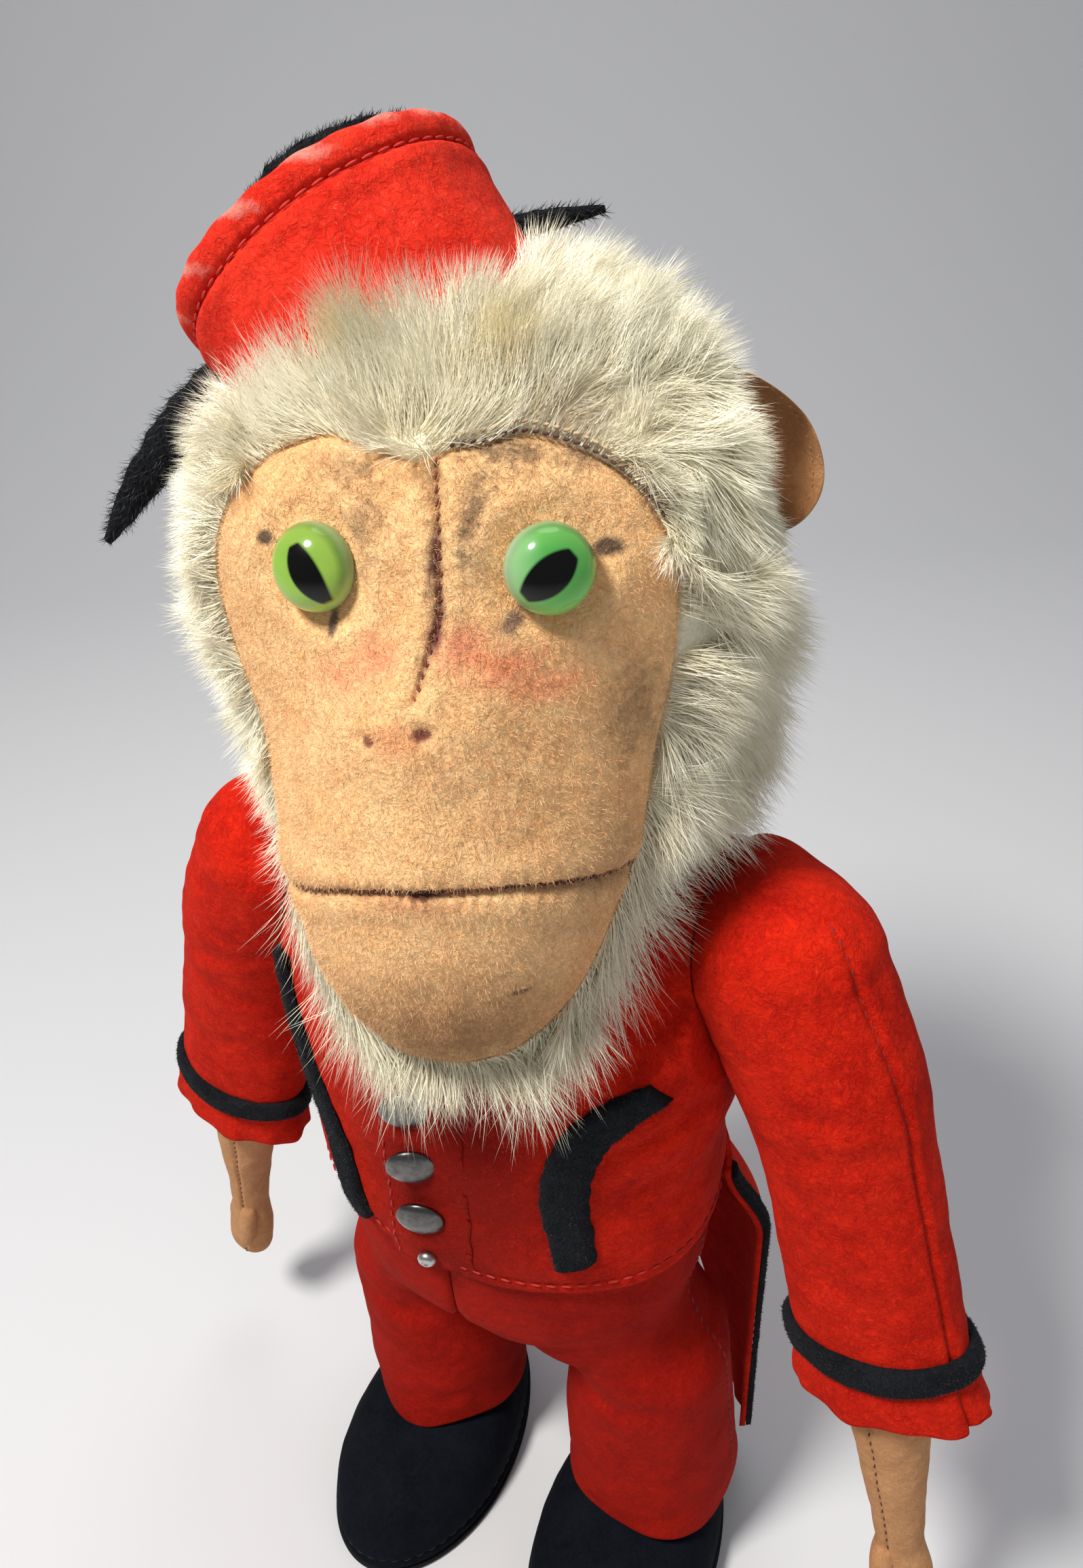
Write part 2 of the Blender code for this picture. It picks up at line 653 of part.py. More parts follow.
def make_arm(side, word, frame, stuffing, body):
    joint_turn = Matrix.Rotation(math.radians(90 * side), 4, "Y")
    body_turn = shoulder_frame(side) @ joint_turn
    cut(stuffing, disc_pocket(f"shoulder_pocket_in_{word}", body, body_turn, -1, SHOULDER_DISC_R, 0))
    joint_disc(f"shoulder_disc_in_{word}", body, body_turn, -1, SHOULDER_DISC_R, 0)

    rings, top, end = limb_rings(ARM_ROWS, 0, 12, 10, ARM_CAP, HAND_CAP)
    verts, faces = loft(rings, top, end)
    arm = piece(f"arm_{word}", verts, faces, "felt_tan", frame, side)
    thumb_rows = ((131, 1.9, 1.9, 13.4, -4.4), (140, 2.2, 2.2, 12.4, -5.2))
    rings, top, end = limb_rings(thumb_rows, 0, 8, 2, 3.5, 2.2)
    verts, faces = loft(rings, top, end)
    cut(arm, piece(f"thumb_{word}", verts, faces, None, frame, side), "UNION")
    verts, faces = box((-40, -40, -90), (GAP, 40, 40))
    cut(arm, piece(f"arm_face_{word}", verts, faces, None, frame, side))
    cut(arm, disc_pocket(f"shoulder_pocket_out_{word}", frame, joint_turn, 1, SHOULDER_DISC_R, 0))
    joint_disc(f"shoulder_disc_out_{word}", frame, joint_turn, 1, SHOULDER_DISC_R, 0)
    joint_pin(f"shoulder_pin_{word}", frame, joint_turn, 0)

    outer, top, _ = limb_rings(SLEEVE_ROWS, 0, 18, 5, SLEEVE_CAP)
    verts, faces = loft(outer, top)
    sleeve = piece(f"sleeve_{word}", verts, faces, "felt_red", frame, side)
    inner, top, _ = limb_rings(SLEEVE_ROWS, FELT, 18, 5, SLEEVE_CAP)
    inner.append(inner[-1] + np.array([0, 0, -4.0]))
    verts, faces = loft(inner, top)
    cut(sleeve, piece(f"sleeve_room_{word}", verts, faces, None, frame, side))
    verts, faces = box((-40, -40, -100), (GAP / 2, 40, 40))
    cut(sleeve, piece(f"sleeve_face_{word}", verts, faces, None, frame, side))

    places = (BAND_TOP, BAND_TOP + BAND_HEIGHT)
    rows = curve_through(SLEEVE_ROWS, places)
    walls = []
    for beyond in (GAP + 1.1, GAP):
        walls.append([
            oval(half_x + beyond, half_y + beyond, mid_x, mid_y, -place, 18)
            for place, (half_x, half_y, mid_x, mid_y) in zip(places, rows)
        ])
    verts, faces = tube(*walls)
    piece(f"cuff_band_{word}", verts, faces, "felt_black", frame, side)


# Legs: the frame's x runs out along the hip's axis, y is back and z is up


def make_leg(side, word, frame, stuffing, seat, body):
    lean = LEG_LEAN[side] / LEG_DROP
    rows = tuple((at, wide, deep, mid + lean * at, back) for at, wide, deep, mid, back in TROUSER_ROWS)
    joint_turn = Matrix.Rotation(math.radians(90 * side), 4, "Y")
    place = Matrix.Translation(Vector((side * HIP_X, HIP_Y, HIP_Z)) * MM)
    half_cloth_gap = HIP_X - 14.7
    body_turn = place @ joint_turn
    cloth = FELT + GAP
    pocket = disc_pocket(f"hip_pocket_in_{word}", body, body_turn, -1, HIP_DISC_R, cloth)
    cut(stuffing, pocket)
    joint_disc(f"hip_disc_in_{word}", body, body_turn, -1, HIP_DISC_R, cloth)
    cut(seat, pin_hole(f"seat_hole_{word}", body, body_turn))

    shell, top, _ = limb_rings(rows, 0, 16, 7, TROUSER_CAP)
    verts, faces = loft(shell, top)
    trouser = piece(f"trouser_leg_{word}", verts, faces, "trouser_red", frame, side)
    ledge = -HIP_LEDGE
    face_verts, face_faces = box((-40, -40, ledge), (half_cloth_gap, 40, 40))
    cut(trouser, piece(f"trouser_face_{word}", face_verts, face_faces, None, frame, side))
    room, top, _ = limb_rings(rows, FELT, 16, 7, TROUSER_CAP)
    room.append(room[-1] + np.array([0, 0, -4.0]))
    verts, faces = loft(room, top)
    hollow = piece(f"trouser_room_{word}", verts, faces, None, frame, side)
    room_edge = half_cloth_gap + FELT
    face_verts, face_faces = box((-40, -40, ledge - FELT), (room_edge, 40, 40))
    cut(hollow, piece(f"room_face_{word}", face_verts, face_faces, None, frame, side))
    cut(trouser, hollow)
    cut(trouser, pin_hole(f"trouser_hole_{word}", frame, joint_turn))

    rings, top, _ = limb_rings(rows, FELT + GAP, 16, 7, TROUSER_CAP)
    kept = [ring for ring in rings if ring[0][2] > -(HIP_Z - 30)]
    kept.append(np.array(kept[-1]))
    floor = -(HIP_Z - 27.4)
    kept[-1][:, 0] += lean * (kept[-1][0, 2] - floor)
    kept[-1][:, 2] = floor
    verts, faces = loft(kept, top)
    leg = piece(f"leg_{word}", verts, faces, "stuffing", frame, side)
    leg_edge = room_edge + GAP
    face_verts, face_faces = box((-40, -40, ledge - FELT - GAP), (leg_edge, 40, 40))
    cut(leg, piece(f"leg_face_{word}", face_verts, face_faces, None, frame, side))
    cut(leg, disc_pocket(f"hip_pocket_out_{word}", frame, joint_turn, 1, HIP_DISC_R, cloth))
    joint_disc(f"hip_disc_out_{word}", frame, joint_turn, 1, HIP_DISC_R, cloth)
    joint_pin(f"hip_pin_{word}", frame, joint_turn, cloth)

    make_shoe(side, word, frame)


def pin_hole(name, parent, turn):
    verts, faces = turned([(0, -3), (PIN_R + 0.5, -3), (PIN_R + 0.5, 3), (0, 3)], 12)
    made = piece(name, verts, faces, None, parent)
    made.matrix_local = turn
    return made


def shoe_outline(height, half, toe, heel, sides=24):
    """A shoe's outline: a long round toe before the widest place, a short round heel."""
    turn = np.linspace(0, 2 * math.pi, sides, endpoint=False)
    middle = toe + 0.45 * (heel - toe)
    deep = np.where(np.sin(turn) > 0, heel - middle, middle - toe) * np.sin(turn)
    narrow = np.where(np.sin(turn) > 0, 1 - 0.14 * np.sin(turn) ** 2, 1.0)
    across = half * np.cos(turn) * narrow
    level = np.full(sides, float(height))
    return np.stack([SHOE_X + across, middle + deep, level], axis=1)


def make_shoe(side, word, frame):
    to_hip = np.array([HIP_X - LEG_LEAN[side], HIP_Y, HIP_Z])
    heights = np.array([1.8, 4.5, 9, 14, 18, 20.5, 22, 27])
    rows = curve_through(SHOE_ROWS, heights)
    rings = [shoe_outline(z, half, toe, heel) - to_hip for z, (half, toe, heel) in zip(heights, rows)]
    verts, faces = loft(rings)
    piece(f"shoe_upper_{word}", verts, faces, "shoe_black", frame, side)
    sole = [shoe_outline(z, SHOE_HALF + grow, SHOE_TOE_Y - grow, SHOE_HEEL_Y + grow) - to_hip
            for z, grow in ((0, 0.1), (0.4, 0.5), (SOLE_THICK, 0.5))]
    verts, faces = loft(sole)
    piece(f"shoe_sole_{word}", verts, faces, "board", frame, side)


# Head. Its surface is found along rays from its centre: blended ellipsoids for the skull,
# the jaw, the muzzle, the brow and the cheeks.


def head_reach(ways):
    """Distance from the head's centre to its surface along each unit direction."""
    ways = np.asarray(ways, float)
    start = np.array(HEAD_CENTRE)
    near = np.full(len(ways), 5.0)
    far = np.full(len(ways), 70.0)
    for _ in range(34):
        mid = 0.5 * (near + far)
        points = start + ways * mid[:, None]
        total = np.zeros(len(ways))
        for centre, radii in HEAD_BLOBS:
            scaled = (points - np.array(centre)) / np.array(radii)
            gap = (np.linalg.norm(scaled, axis=1) - 1) * min(radii)
            total += np.exp(-BLEND_SHARPNESS * np.clip(gap, -60, 60))
        inside = total > 1.0
        near = np.where(inside, mid, near)
        far = np.where(inside, far, mid)
    return 0.5 * (near + far)


def head_points(ways, inset=0.0):
    ways = np.asarray(ways, float)
    flat = ways.reshape(-1, 3)
    reach = head_reach(flat) - inset
    points = np.array(HEAD_CENTRE) + flat * reach[:, None]
    return points.reshape(ways.shape)


def way_of(turn, lift):
    """Unit direction: turn to the head's left from straight ahead, lift above level, degrees."""
    a = math.radians(turn)
    b = math.radians(lift)
    return np.array([math.sin(a) * math.cos(b), -math.cos(a) * math.cos(b), math.sin(b)])


def face_edge(grow):
    """Unit directions round the face's edge, grow degrees beyond it."""
    rows = [(k, turn, lift) for k, (turn, lift) in enumerate(FACE_EDGE)]
    half = curve_through(rows, np.linspace(0, len(rows) - 1, 15))
    loop = [(turn, lift) for turn, lift in half] + [(-turn, lift) for turn, lift in half[-2:0:-1]]
    ways = []
    for turn, lift in loop:
        dx = turn - FACE_MIDDLE[0]
        dz = lift - FACE_MIDDLE[1]
        size = math.hypot(dx, dz)
        ways.append(way_of(turn + grow * dx / size, lift + grow * dz / size))
    return np.array(ways)


def between(start, end, share):
    mixed = start * (1 - share) + end * share
    return mixed / np.linalg.norm(mixed, axis=-1, keepdims=True)


def patch_ways(edge, pole, count):
    """Directions of a patch: rings from the edge in towards the pole, then the pole."""
    shares = np.linspace(0, 1, count + 1)[:-1]
    return np.concatenate([between(edge, pole, share) for share in shares] + [pole[None, :]])


def patch_faces(around, count):
    faces = []
    for low in range(0, around * (count - 1), around):
        for i in range(around):
            j = (i + 1) % around
            faces.append((low + i, low + j, low + around + j))
            faces.append((low + i, low + around + j, low + around + i))
    low = around * (count - 1)
    for i in range(around):
        faces.append((low + i, low + (i + 1) % around, low + around))
    return faces


def shell_patch(edge, pole, count):
    """A closed felt shell over the part of the head between the edge and the pole."""
    around = len(edge)
    ways = patch_ways(edge, pole, count)
    verts = np.concatenate([head_points(ways), head_points(ways, FACE_FELT)])
    under = len(ways)
    skin = patch_faces(around, count)
    faces = skin + [tuple(under + v for v in reversed(face)) for face in skin]
    for i in range(around):
        j = (i + 1) % around
        faces.append((j, i, under + i, under + j))
    return verts, faces


def whole_head(inset):
    """The head's closed form, whose facets lie parallel to those of its felt shells."""
    edge = face_edge(0)
    around = len(edge)
    front = patch_ways(edge, way_of(*FACE_MIDDLE), FACE_RINGS)
    back = patch_ways(edge, way_of(*HOOD_MIDDLE), HOOD_RINGS)
    shift = len(front) - around
    faces = patch_faces(around, FACE_RINGS)
    for face in patch_faces(around, HOOD_RINGS):
        faces.append(tuple(v if v < around else v + shift for v in reversed(face)))
    return head_points(np.concatenate([front, back[around:]]), inset), faces


def neck_clearance(name, parent, lift):
    """What the head leaves for the shoulders under it as it turns; the chin may hang lower."""
    z = NECK_Z + GAP + lift
    rings = []
    slope = ((60, -60), (60, -8), (38, -6.5), (31, -4.2), (25, -2.2), (17, 0))
    for radius, drop in slope:
        ring = oval(radius, radius, 0, 0, z + drop, 24)
        front = np.clip(-ring[:, 1] / radius, 0, 1) ** 3
        ring[:, 2] -= CHIN_DROP * front * np.clip((radius - 25) / 12, 0, 1)
        rings.append(ring)
    verts, faces = loft(rings, (0, 0, z - 60))
    return piece(name, verts, faces, None, parent)


def mouth_side(edge_z, far_z):
    """All that lies on one side of the mouth's seam, which droops to its ends."""
    profile = []
    for x in np.linspace(-1.3 * MOUTH_HALF, 1.3 * MOUTH_HALF, 11):
        profile.append((x, edge_z - MOUTH_DROP * (x / MOUTH_HALF) ** 2))
    profile = [(-80, profile[0][1])] + profile + [(80, profile[-1][1]), (80, far_z), (-80, far_z)]
    return loft([np.array([(x, y, z) for x, z in profile]) for y in (-80, 80)])


def make_head(head, stuffing, body):
    verts, faces = whole_head(FACE_FELT + GAP)
    core = piece("head_stuffing", verts, faces, "stuffing", head)
    cut(core, neck_clearance("core_neck", head, GAP))

    verts, faces = shell_patch(face_edge(0.25), way_of(*HOOD_MIDDLE), HOOD_RINGS)
    hood = piece("mohair_hood", verts, faces, "mohair", head)
    cut(hood, neck_clearance("hood_neck", head, 0))

    seam = 0.5 * GAP
    for name, edge_z, far_z in (("face_felt", MOUTH_Z + seam, 400), ("chin_felt", MOUTH_Z - seam, 100)):
        verts, faces = shell_patch(face_edge(-0.25), way_of(*FACE_MIDDLE), FACE_RINGS)
        felt = piece(name, verts, faces, "felt_tan", head)
        verts, faces = mouth_side(edge_z, far_z)
        cut(felt, piece(f"{name}_part", verts, faces, None, head), "INTERSECT")
        if name == "face_felt":
            face = felt
        else:
            cut(felt, neck_clearance("chin_neck", head, 0))

    axis = Matrix.Translation(Vector((0, 0, NECK_Z + 0.5 * GAP)) * MM)
    body_axis = Matrix.Translation(Vector((NECK_X, NECK_Y, NECK_Z + 0.5 * GAP)) * MM)
    cut(stuffing, disc_pocket("neck_pocket_low", body, body_axis, -1, NECK_DISC_R, 0))
    joint_disc("neck_disc_low", body, body_axis, -1, NECK_DISC_R, 0)
    cut(core, disc_pocket("neck_pocket_high", head, axis, 1, NECK_DISC_R, 0))
    joint_disc("neck_disc_high", head, axis, 1, NECK_DISC_R, 0)
    joint_pin("neck_pin", head, axis, 0)

    make_eyes(head, core, face)
    make_ears(head)
    make_hat(head)


def surface_normal(way):
    """The head surface's outward normal where a ray in this direction leaves it."""
    side = np.cross(way, (0, 0, 1.0))
    side /= np.linalg.norm(side)
    up = np.cross(side, way)
    step = 0.04
    ring = []
    for pull in (side, up, -side, -up):
        moved = way + pull * step
        ring.append(moved / np.linalg.norm(moved))
    right, above, left, below = head_points(np.array(ring))
    normal = np.cross(above - below, right - left)
    return normal / np.linalg.norm(normal)


def way_through(x, z):
    """Direction whose surface point has this x and z, on the face's side."""
    way = np.array([x, -20.0, z - HEAD_CENTRE[2]])
    way /= np.linalg.norm(way)
    for _ in range(25):
        point = head_points(way[None, :])[0]
        miss = np.array([x - point[0], 0, z - point[2]])
        way = way + miss / 40.0
        way /= np.linalg.norm(way)
    return way


def make_eyes(head, core, face):
    rise = EYE_DEPTH - 1.2
    dome = [(EYE_R * math.sin(a), 1.2 + rise * math.cos(a)) for a in np.linspace(1.3, 0.35, 4)]
    profile = [(0, 0), (EYE_R - 0.4, 0), (EYE_R, 0.6)] + dome + [(0, EYE_DEPTH)]
    for side, word in ((1, "left"), (-1, "right")):
        way = way_through(EYE_X[side], EYE_Z)
        seat = head_points(way[None, :])[0]
        normal = Vector(surface_normal(way))
        sink = 1.3
        place = Vector(seat) - normal * sink
        place.x *= side
        normal.x *= side
        turn = Matrix.Translation(place * MM) @ normal.to_track_quat("Z", "Y").to_matrix().to_4x4()
        verts, faces = turned(profile, 20)
        eye = piece(f"eye_{word}", verts, faces, "glass_green", head)
        eye.matrix_local = turn
        socket_profile = [(0, -GAP), (EYE_R + GAP, -GAP), (EYE_R + GAP, 9), (0, 9)]
        verts, faces = turned(socket_profile, 20)
        socket = piece(f"eye_socket_{word}", verts, faces, None, head)
        socket.matrix_local = turn
        cut(face, socket)
        shank_room = [(0, -9.6), (1.3, -9.6), (1.3, -GAP), (EYE_R + GAP, -GAP), (EYE_R + GAP, 9), (0, 9)]
        verts, faces = turned(shank_room, 20)
        bore = piece(f"eye_bore_{word}", verts, faces, None, head)
        bore.matrix_local = turn
        cut(core, bore)
        wire = [(0, -9.2), (1.0, -8.9), (1.0, -8.1), (0.5, -7.4), (0.5, -GAP), (0, -GAP)]
        verts, faces = turned(wire, 10)
        shank = piece(f"eye_wire_{word}", verts, faces, "steel", head)
        shank.matrix_local = turn


def make_ears(head):
    rows = 9
    columns = 6
    for side, word in ((1, "left"), (-1, "right")):
        root = head_points(way_of(EAR_TURN, EAR_LIFT[side])[None, :])[0]
        front = []
        back = []
        for r in range(rows):
            up = -1 + 2 * r / (rows - 1)
            reach = EAR_REACH * max(0.12, 1 - abs(up) ** 2.4) ** 0.5
            z = root[2] + EAR_HALF_HEIGHT * up
            foot = foot_at(z)
            front_row = []
            back_row = []
            for c in range(columns):
                out = c / (columns - 1)
                cup = EAR_CUP * math.sin(math.pi * min(1.0, 0.15 + 0.8 * out)) * (1 - 0.6 * up * up)
                x = foot[0] + 0.8 + reach * out
                y = foot[1] + 1.5 + cup - 2.5 * out * out
                front_row.append((x, y - EAR_FELT * 0.5, z))
                back_row.append((x - 0.3, y + EAR_FELT * 0.5, z))
            front.append(front_row)
            back.append(back_row)
        verts, faces = sheet(back, front)
        ear = piece(f"ear_{word}", verts, faces, "felt_tan", head, side)
        cut(ear, head_mask(f"ear_root_{word}", head))


def foot_at(z):
    """Where the hood's side is widest near the ear, at this height."""
    best = None
    for lift in np.linspace(-20, 75, 96):
        point = head_points(way_of(EAR_TURN, lift)[None, :])[0]
        if best is None or abs(point[2] - z) < abs(best[2] - z):
            best = point
    return best


def head_mask(name, head):
    """The head's whole outer form, grown by the gap that seated pieces keep to it."""
    verts, faces = whole_head(-SEAT_GAP)
    return piece(name, verts, faces, None, head)


# Hat: a flared felt wall seated on the hood, a top let in under a stitched rim, and a bow


def hat_matrix():
    axis = Vector(HAT_AXIS).normalized()
    return Matrix.Translation(Vector(HAT_RIM) * MM) @ axis.to_track_quat("Z", "Y").to_matrix().to_4x4()


def make_hat(head):
    wall = 1.8
    depth = HAT_HEIGHT + 9
    heights = np.linspace(0, -depth, 4)
    flare = [HAT_RIM_R + (HAT_BASE_R - HAT_RIM_R) * (-z / HAT_HEIGHT) ** 0.9 for z in heights]
    outer = [oval(r, r, 0, 0, z, 32) for r, z in zip(flare, heights)]
    inner = [oval(r - wall, r - wall, 0, 0, z, 32) for r, z in zip(flare, heights)]
    verts, faces = tube(outer, inner)
    side_wall = piece("hat_side", verts, faces, "felt_red", head)
    side_wall.matrix_local = hat_matrix()
    cut(side_wall, head_mask("hat_seat", head))

    drop = 1.6
    radius = HAT_RIM_R - wall - GAP - 0.35
    under = -drop - 1.6
    crown = [(0, under), (radius - 0.2, under), (radius, -drop)]
    crown += [(0.6 * radius, -drop + 0.5), (0, -drop + 0.7)]
    verts, faces = turned(crown, 28)
    lid = piece("hat_top", verts, faces, "felt_red", head)
    lid.matrix_local = hat_matrix()

    make_bow(head)


def make_bow(head):
    knot = [(4.2 * math.sin(a), -4.6 * math.cos(a)) for a in np.linspace(0, math.pi, 7)]
    verts, faces = turned(knot, 10)
    made = piece("bow_knot", verts, faces, "felt_black", head)
    made.location = Vector(BOW_KNOT) * MM
    for name, (start, end, half) in BOW_PIECES.items():
        start = np.array(start)
        end = np.array(end)
        along = (end - start) / np.linalg.norm(end - start)
        deep = np.cross(along, (0, 0, 1.0))
        deep /= np.linalg.norm(deep)
        wide = np.cross(deep, along)
        rings = []
        for share in np.linspace(0.04, 0.96, 8):
            swell = half * (math.sin(math.pi * share**0.8) ** 0.7 + 0.12)
            turn = np.linspace(0, 2 * math.pi, 8, endpoint=False)
            sag = wide * 1.5 * math.sin(math.pi * share)
            mid = start + (end - start) * share + sag
            round_way = np.outer(np.cos(turn), wide) + np.outer(np.sin(turn), deep) * 0.6
            ring = mid + round_way * swell
            rings.append(ring)
        verts, faces = loft(rings, tuple(start), tuple(end))
        piece(name, verts, faces, "felt_black", head)


def main():
    clear_scene()
    body = empty("body_frame", place=(STAND_X, STAND_Y, 0))
    stuffing, seat = make_body(body)
    make_front(body)
    make_tails(body)
    for side, word in ((1, "left"), (-1, "right")):
        swing = Matrix.Rotation(math.radians(-ARM_SWING[side]), 4, "X")
        frame = empty(f"arm_frame_{word}", body)
        frame.matrix_local = shoulder_frame(side) @ swing
        make_arm(side, word, frame, stuffing, body)
        hip = empty(f"leg_frame_{word}", body, (side * HIP_X, HIP_Y, HIP_Z))
        make_leg(side, word, hip, stuffing, seat, body)
    head_turn = Matrix.Rotation(math.radians(HEAD_TURN), 4, "Z")
    head = empty("head_frame", body, (NECK_X, NECK_Y, 0), head_turn)
    make_head(head, stuffing, body)


main()
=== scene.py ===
import math

import bmesh
import bpy
import numpy as np
from mathutils import Matrix, Vector, noise
from mathutils.kdtree import KDTree


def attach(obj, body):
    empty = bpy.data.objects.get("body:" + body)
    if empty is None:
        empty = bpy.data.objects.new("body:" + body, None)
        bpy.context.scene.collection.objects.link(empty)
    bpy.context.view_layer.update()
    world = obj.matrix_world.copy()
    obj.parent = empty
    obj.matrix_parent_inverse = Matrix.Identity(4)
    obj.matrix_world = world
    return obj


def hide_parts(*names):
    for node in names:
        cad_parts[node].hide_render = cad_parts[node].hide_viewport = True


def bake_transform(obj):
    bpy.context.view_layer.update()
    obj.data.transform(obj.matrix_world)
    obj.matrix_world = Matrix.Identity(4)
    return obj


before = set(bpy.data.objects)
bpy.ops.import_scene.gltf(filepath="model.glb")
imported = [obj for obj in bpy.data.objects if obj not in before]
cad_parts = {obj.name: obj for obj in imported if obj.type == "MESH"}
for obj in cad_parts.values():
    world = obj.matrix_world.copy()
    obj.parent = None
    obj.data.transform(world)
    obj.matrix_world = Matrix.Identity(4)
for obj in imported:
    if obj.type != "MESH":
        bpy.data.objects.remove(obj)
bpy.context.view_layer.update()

# Shapes are worked out in millimetres in the frame of the body, the head or an arm, then placed
milli = 0.001
standOff = np.array((0.0, 1.9, 0.0))

bodySettings = {
    "rows": (
        (68, 8, 8, 0, -2), (72, 17, 15, 0, -2), (80, 26, 21, 0, -2), (90, 33, 25.5, 0, -1.7),
        (104, 37.3, 27.6, 0, -1.5), (118, 37.7, 27.8, 0, -1.5), (130, 39, 28.9, 0, -1.5),
        (145, 39.8, 29, 0, -1.5), (158, 41.8, 27.8, 0, -1.5), (170, 44, 24.5, 0, -1.3),
        (177, 45, 22.2, 0, -1.0), (182, 44.6, 21.8, 0, 0.6), (186, 42.5, 20, 0.2, 0.7),
        (190, 35, 17, 0.8, -0.4), (193.5, 20, 15, 2.0, -2.8), (197.5, 14.6, 14.4, 2.4, -3.3),
    ),
    "power": 2.15,
    "felt": 1.5,
    "trouserTopZ": 124.0,
}
headSettings = {
    "centre": (0.0, -2.0, 234.0),
    "neck": (2.4, -3.3),
    "neckZ": 197.5,
    "turn": 18.7,
    "sharpness": 0.32,
    "blobs": (
        ((0, 8.5, 243), (41, 37.5, 39.5)), ((0, -9, 217), (27, 28, 31)), ((-1.2, -23, 206), (22, 20.5, 31)),
        ((0, -25, 234), (11, 11, 12)), ((0, -8, 254), (28, 15, 14)), ((0, 12, 214), (41, 32, 27)),
    ),
    "faceEdge": (
        (0, 58), (14, 60), (32, 60), (48, 55), (57, 47), (61.5, 37), (63, 26), (62.5, 12),
        (61.5, -2), (59, -17), (53.5, -30), (44.5, -41), (30.5, -50), (15, -55), (0, -57),
    ),
    "faceMiddle": (0.0, 2.0),
    "hoodMiddle": (180.0, 12.0),
}
armSettings = {
    "shoulder": {1: (40.0, 2.5, 177.5), -1: (-39.5, -2.5, 173.0)},
    "tilt": 14.0,
    "swing": {1: 6.0, -1: 0.0},
    "sleeveRows": ((-2, 16.8, 15.2, 9.6, 1.4), (16, 16.4, 14, 14.2, 1), (34, 15, 11.8, 16.4, 0.4),
                   (60, 15.4, 10, 17.3, 0), (87, 17, 9.8, 18, 0)),
    "sleeveCap": 15.0,
    "sleeveSeam": 1.85,  # half turns round the arm from its outer side
    "handSeam": 1.42,
    "armRows": (
        (52, 9.6, 8.2, 17.2, 0), (70, 8.8, 7.9, 17.6, 0), (87, 8.2, 7.6, 17.6, 0), (102, 7.0, 6.7, 17.0, 0),
        (118, 5.4, 5.4, 16.2, 0), (129, 4.7, 4.7, 15.6, 0), (138, 6.2, 4.6, 15.0, -0.4), (146, 6.2, 4.3, 14.6, -0.8),
    ),
    "handCap": 7.5,
}
sideWords = {1: "left", -1: "right"}


# Small helpers for points and meshes

def curveThrough(rows, places):
    table = np.array(rows, float)
    at, values = table[:, 0], table[:, 1:]
    steps = np.diff(values, axis=0) / np.diff(at)[:, None]
    slopes = np.zeros_like(values)
    sameWay = steps[:-1] * steps[1:] > 0
    total = np.where(sameWay, steps[:-1] + steps[1:], 1.0)
    slopes[1:-1] = np.where(sameWay, 2 * steps[:-1] * steps[1:] / total, 0.0)
    slopes[0], slopes[-1] = steps[0], steps[-1]
    out = []
    for place in places:
        k = int(np.clip(np.searchsorted(at, place) - 1, 0, len(at) - 2))
        span = at[k + 1] - at[k]
        t = np.clip((place - at[k]) / span, 0, 1)
        out.append(
            (2 * t**3 - 3 * t**2 + 1) * values[k] + (t**3 - 2 * t**2 + t) * span * slopes[k]
            + (3 * t**2 - 2 * t**3) * values[k + 1] + (t**3 - t**2) * span * slopes[k + 1])
    return np.array(out)


def smoothStep(low, high, value):
    t = np.clip((np.asarray(value, float) - low) / (high - low), 0, 1)
    return t * t * (3 - 2 * t)


def inBody(points):
    return (np.asarray(points, float) + standOff) * milli


def inHead(points):
    a = math.radians(headSettings["turn"])
    p = np.asarray(points, float)
    x = p[..., 0] * math.cos(a) - p[..., 1] * math.sin(a) + headSettings["neck"][0]
    y = p[..., 0] * math.sin(a) + p[..., 1] * math.cos(a) + headSettings["neck"][1]
    return inBody(np.stack([x, y, p[..., 2]], axis=-1))


def inArm(points, side):
    tilt = Matrix.Rotation(math.radians(-armSettings["tilt"] * side), 4, "Y")
    swing = Matrix.Rotation(math.radians(-armSettings["swing"][side]), 4, "X")
    turn = np.array((tilt @ swing).to_3x3())
    p = np.asarray(points, float) * (side, 1, 1)
    return inBody(p @ turn.T + np.array(armSettings["shoulder"][side]))


def linked(name, data):
    made = bpy.data.objects.new(name, data)
    bpy.context.scene.collection.objects.link(made)
    return made


def plainMesh(name, verts, edges, faces):
    mesh = bpy.data.meshes.new(name)
    mesh.from_pydata([tuple(v) for v in verts], edges, [tuple(f) for f in faces])
    return linked(name, mesh)


def makeMesh(name, verts, faces, finish):
    made = plainMesh(name, np.asarray(verts, float).reshape(-1, 3), [], faces)
    made.data.shade_smooth()
    made.data.materials.append(finish)
    return made


def faceOutwards(piece, merge=True):
    work = bmesh.new()
    work.from_mesh(piece.data)
    if merge:
        bmesh.ops.remove_doubles(work, verts=work.verts, dist=1e-6)
    bmesh.ops.recalc_face_normals(work, faces=work.faces)
    work.to_mesh(piece.data)
    work.free()
    return piece


def ringFaces(rings, around, closed=False):
    faces = []
    for k in range(rings if closed else rings - 1):
        low = k * around
        high = ((k + 1) % rings) * around
        for i in range(around):
            j = (i + 1) % around
            faces.append((low + i, low + j, high + j, high + i))
    return faces


def capFaces(first, around, hub):
    return [(first + i, first + (i + 1) % around, hub) for i in range(around)]


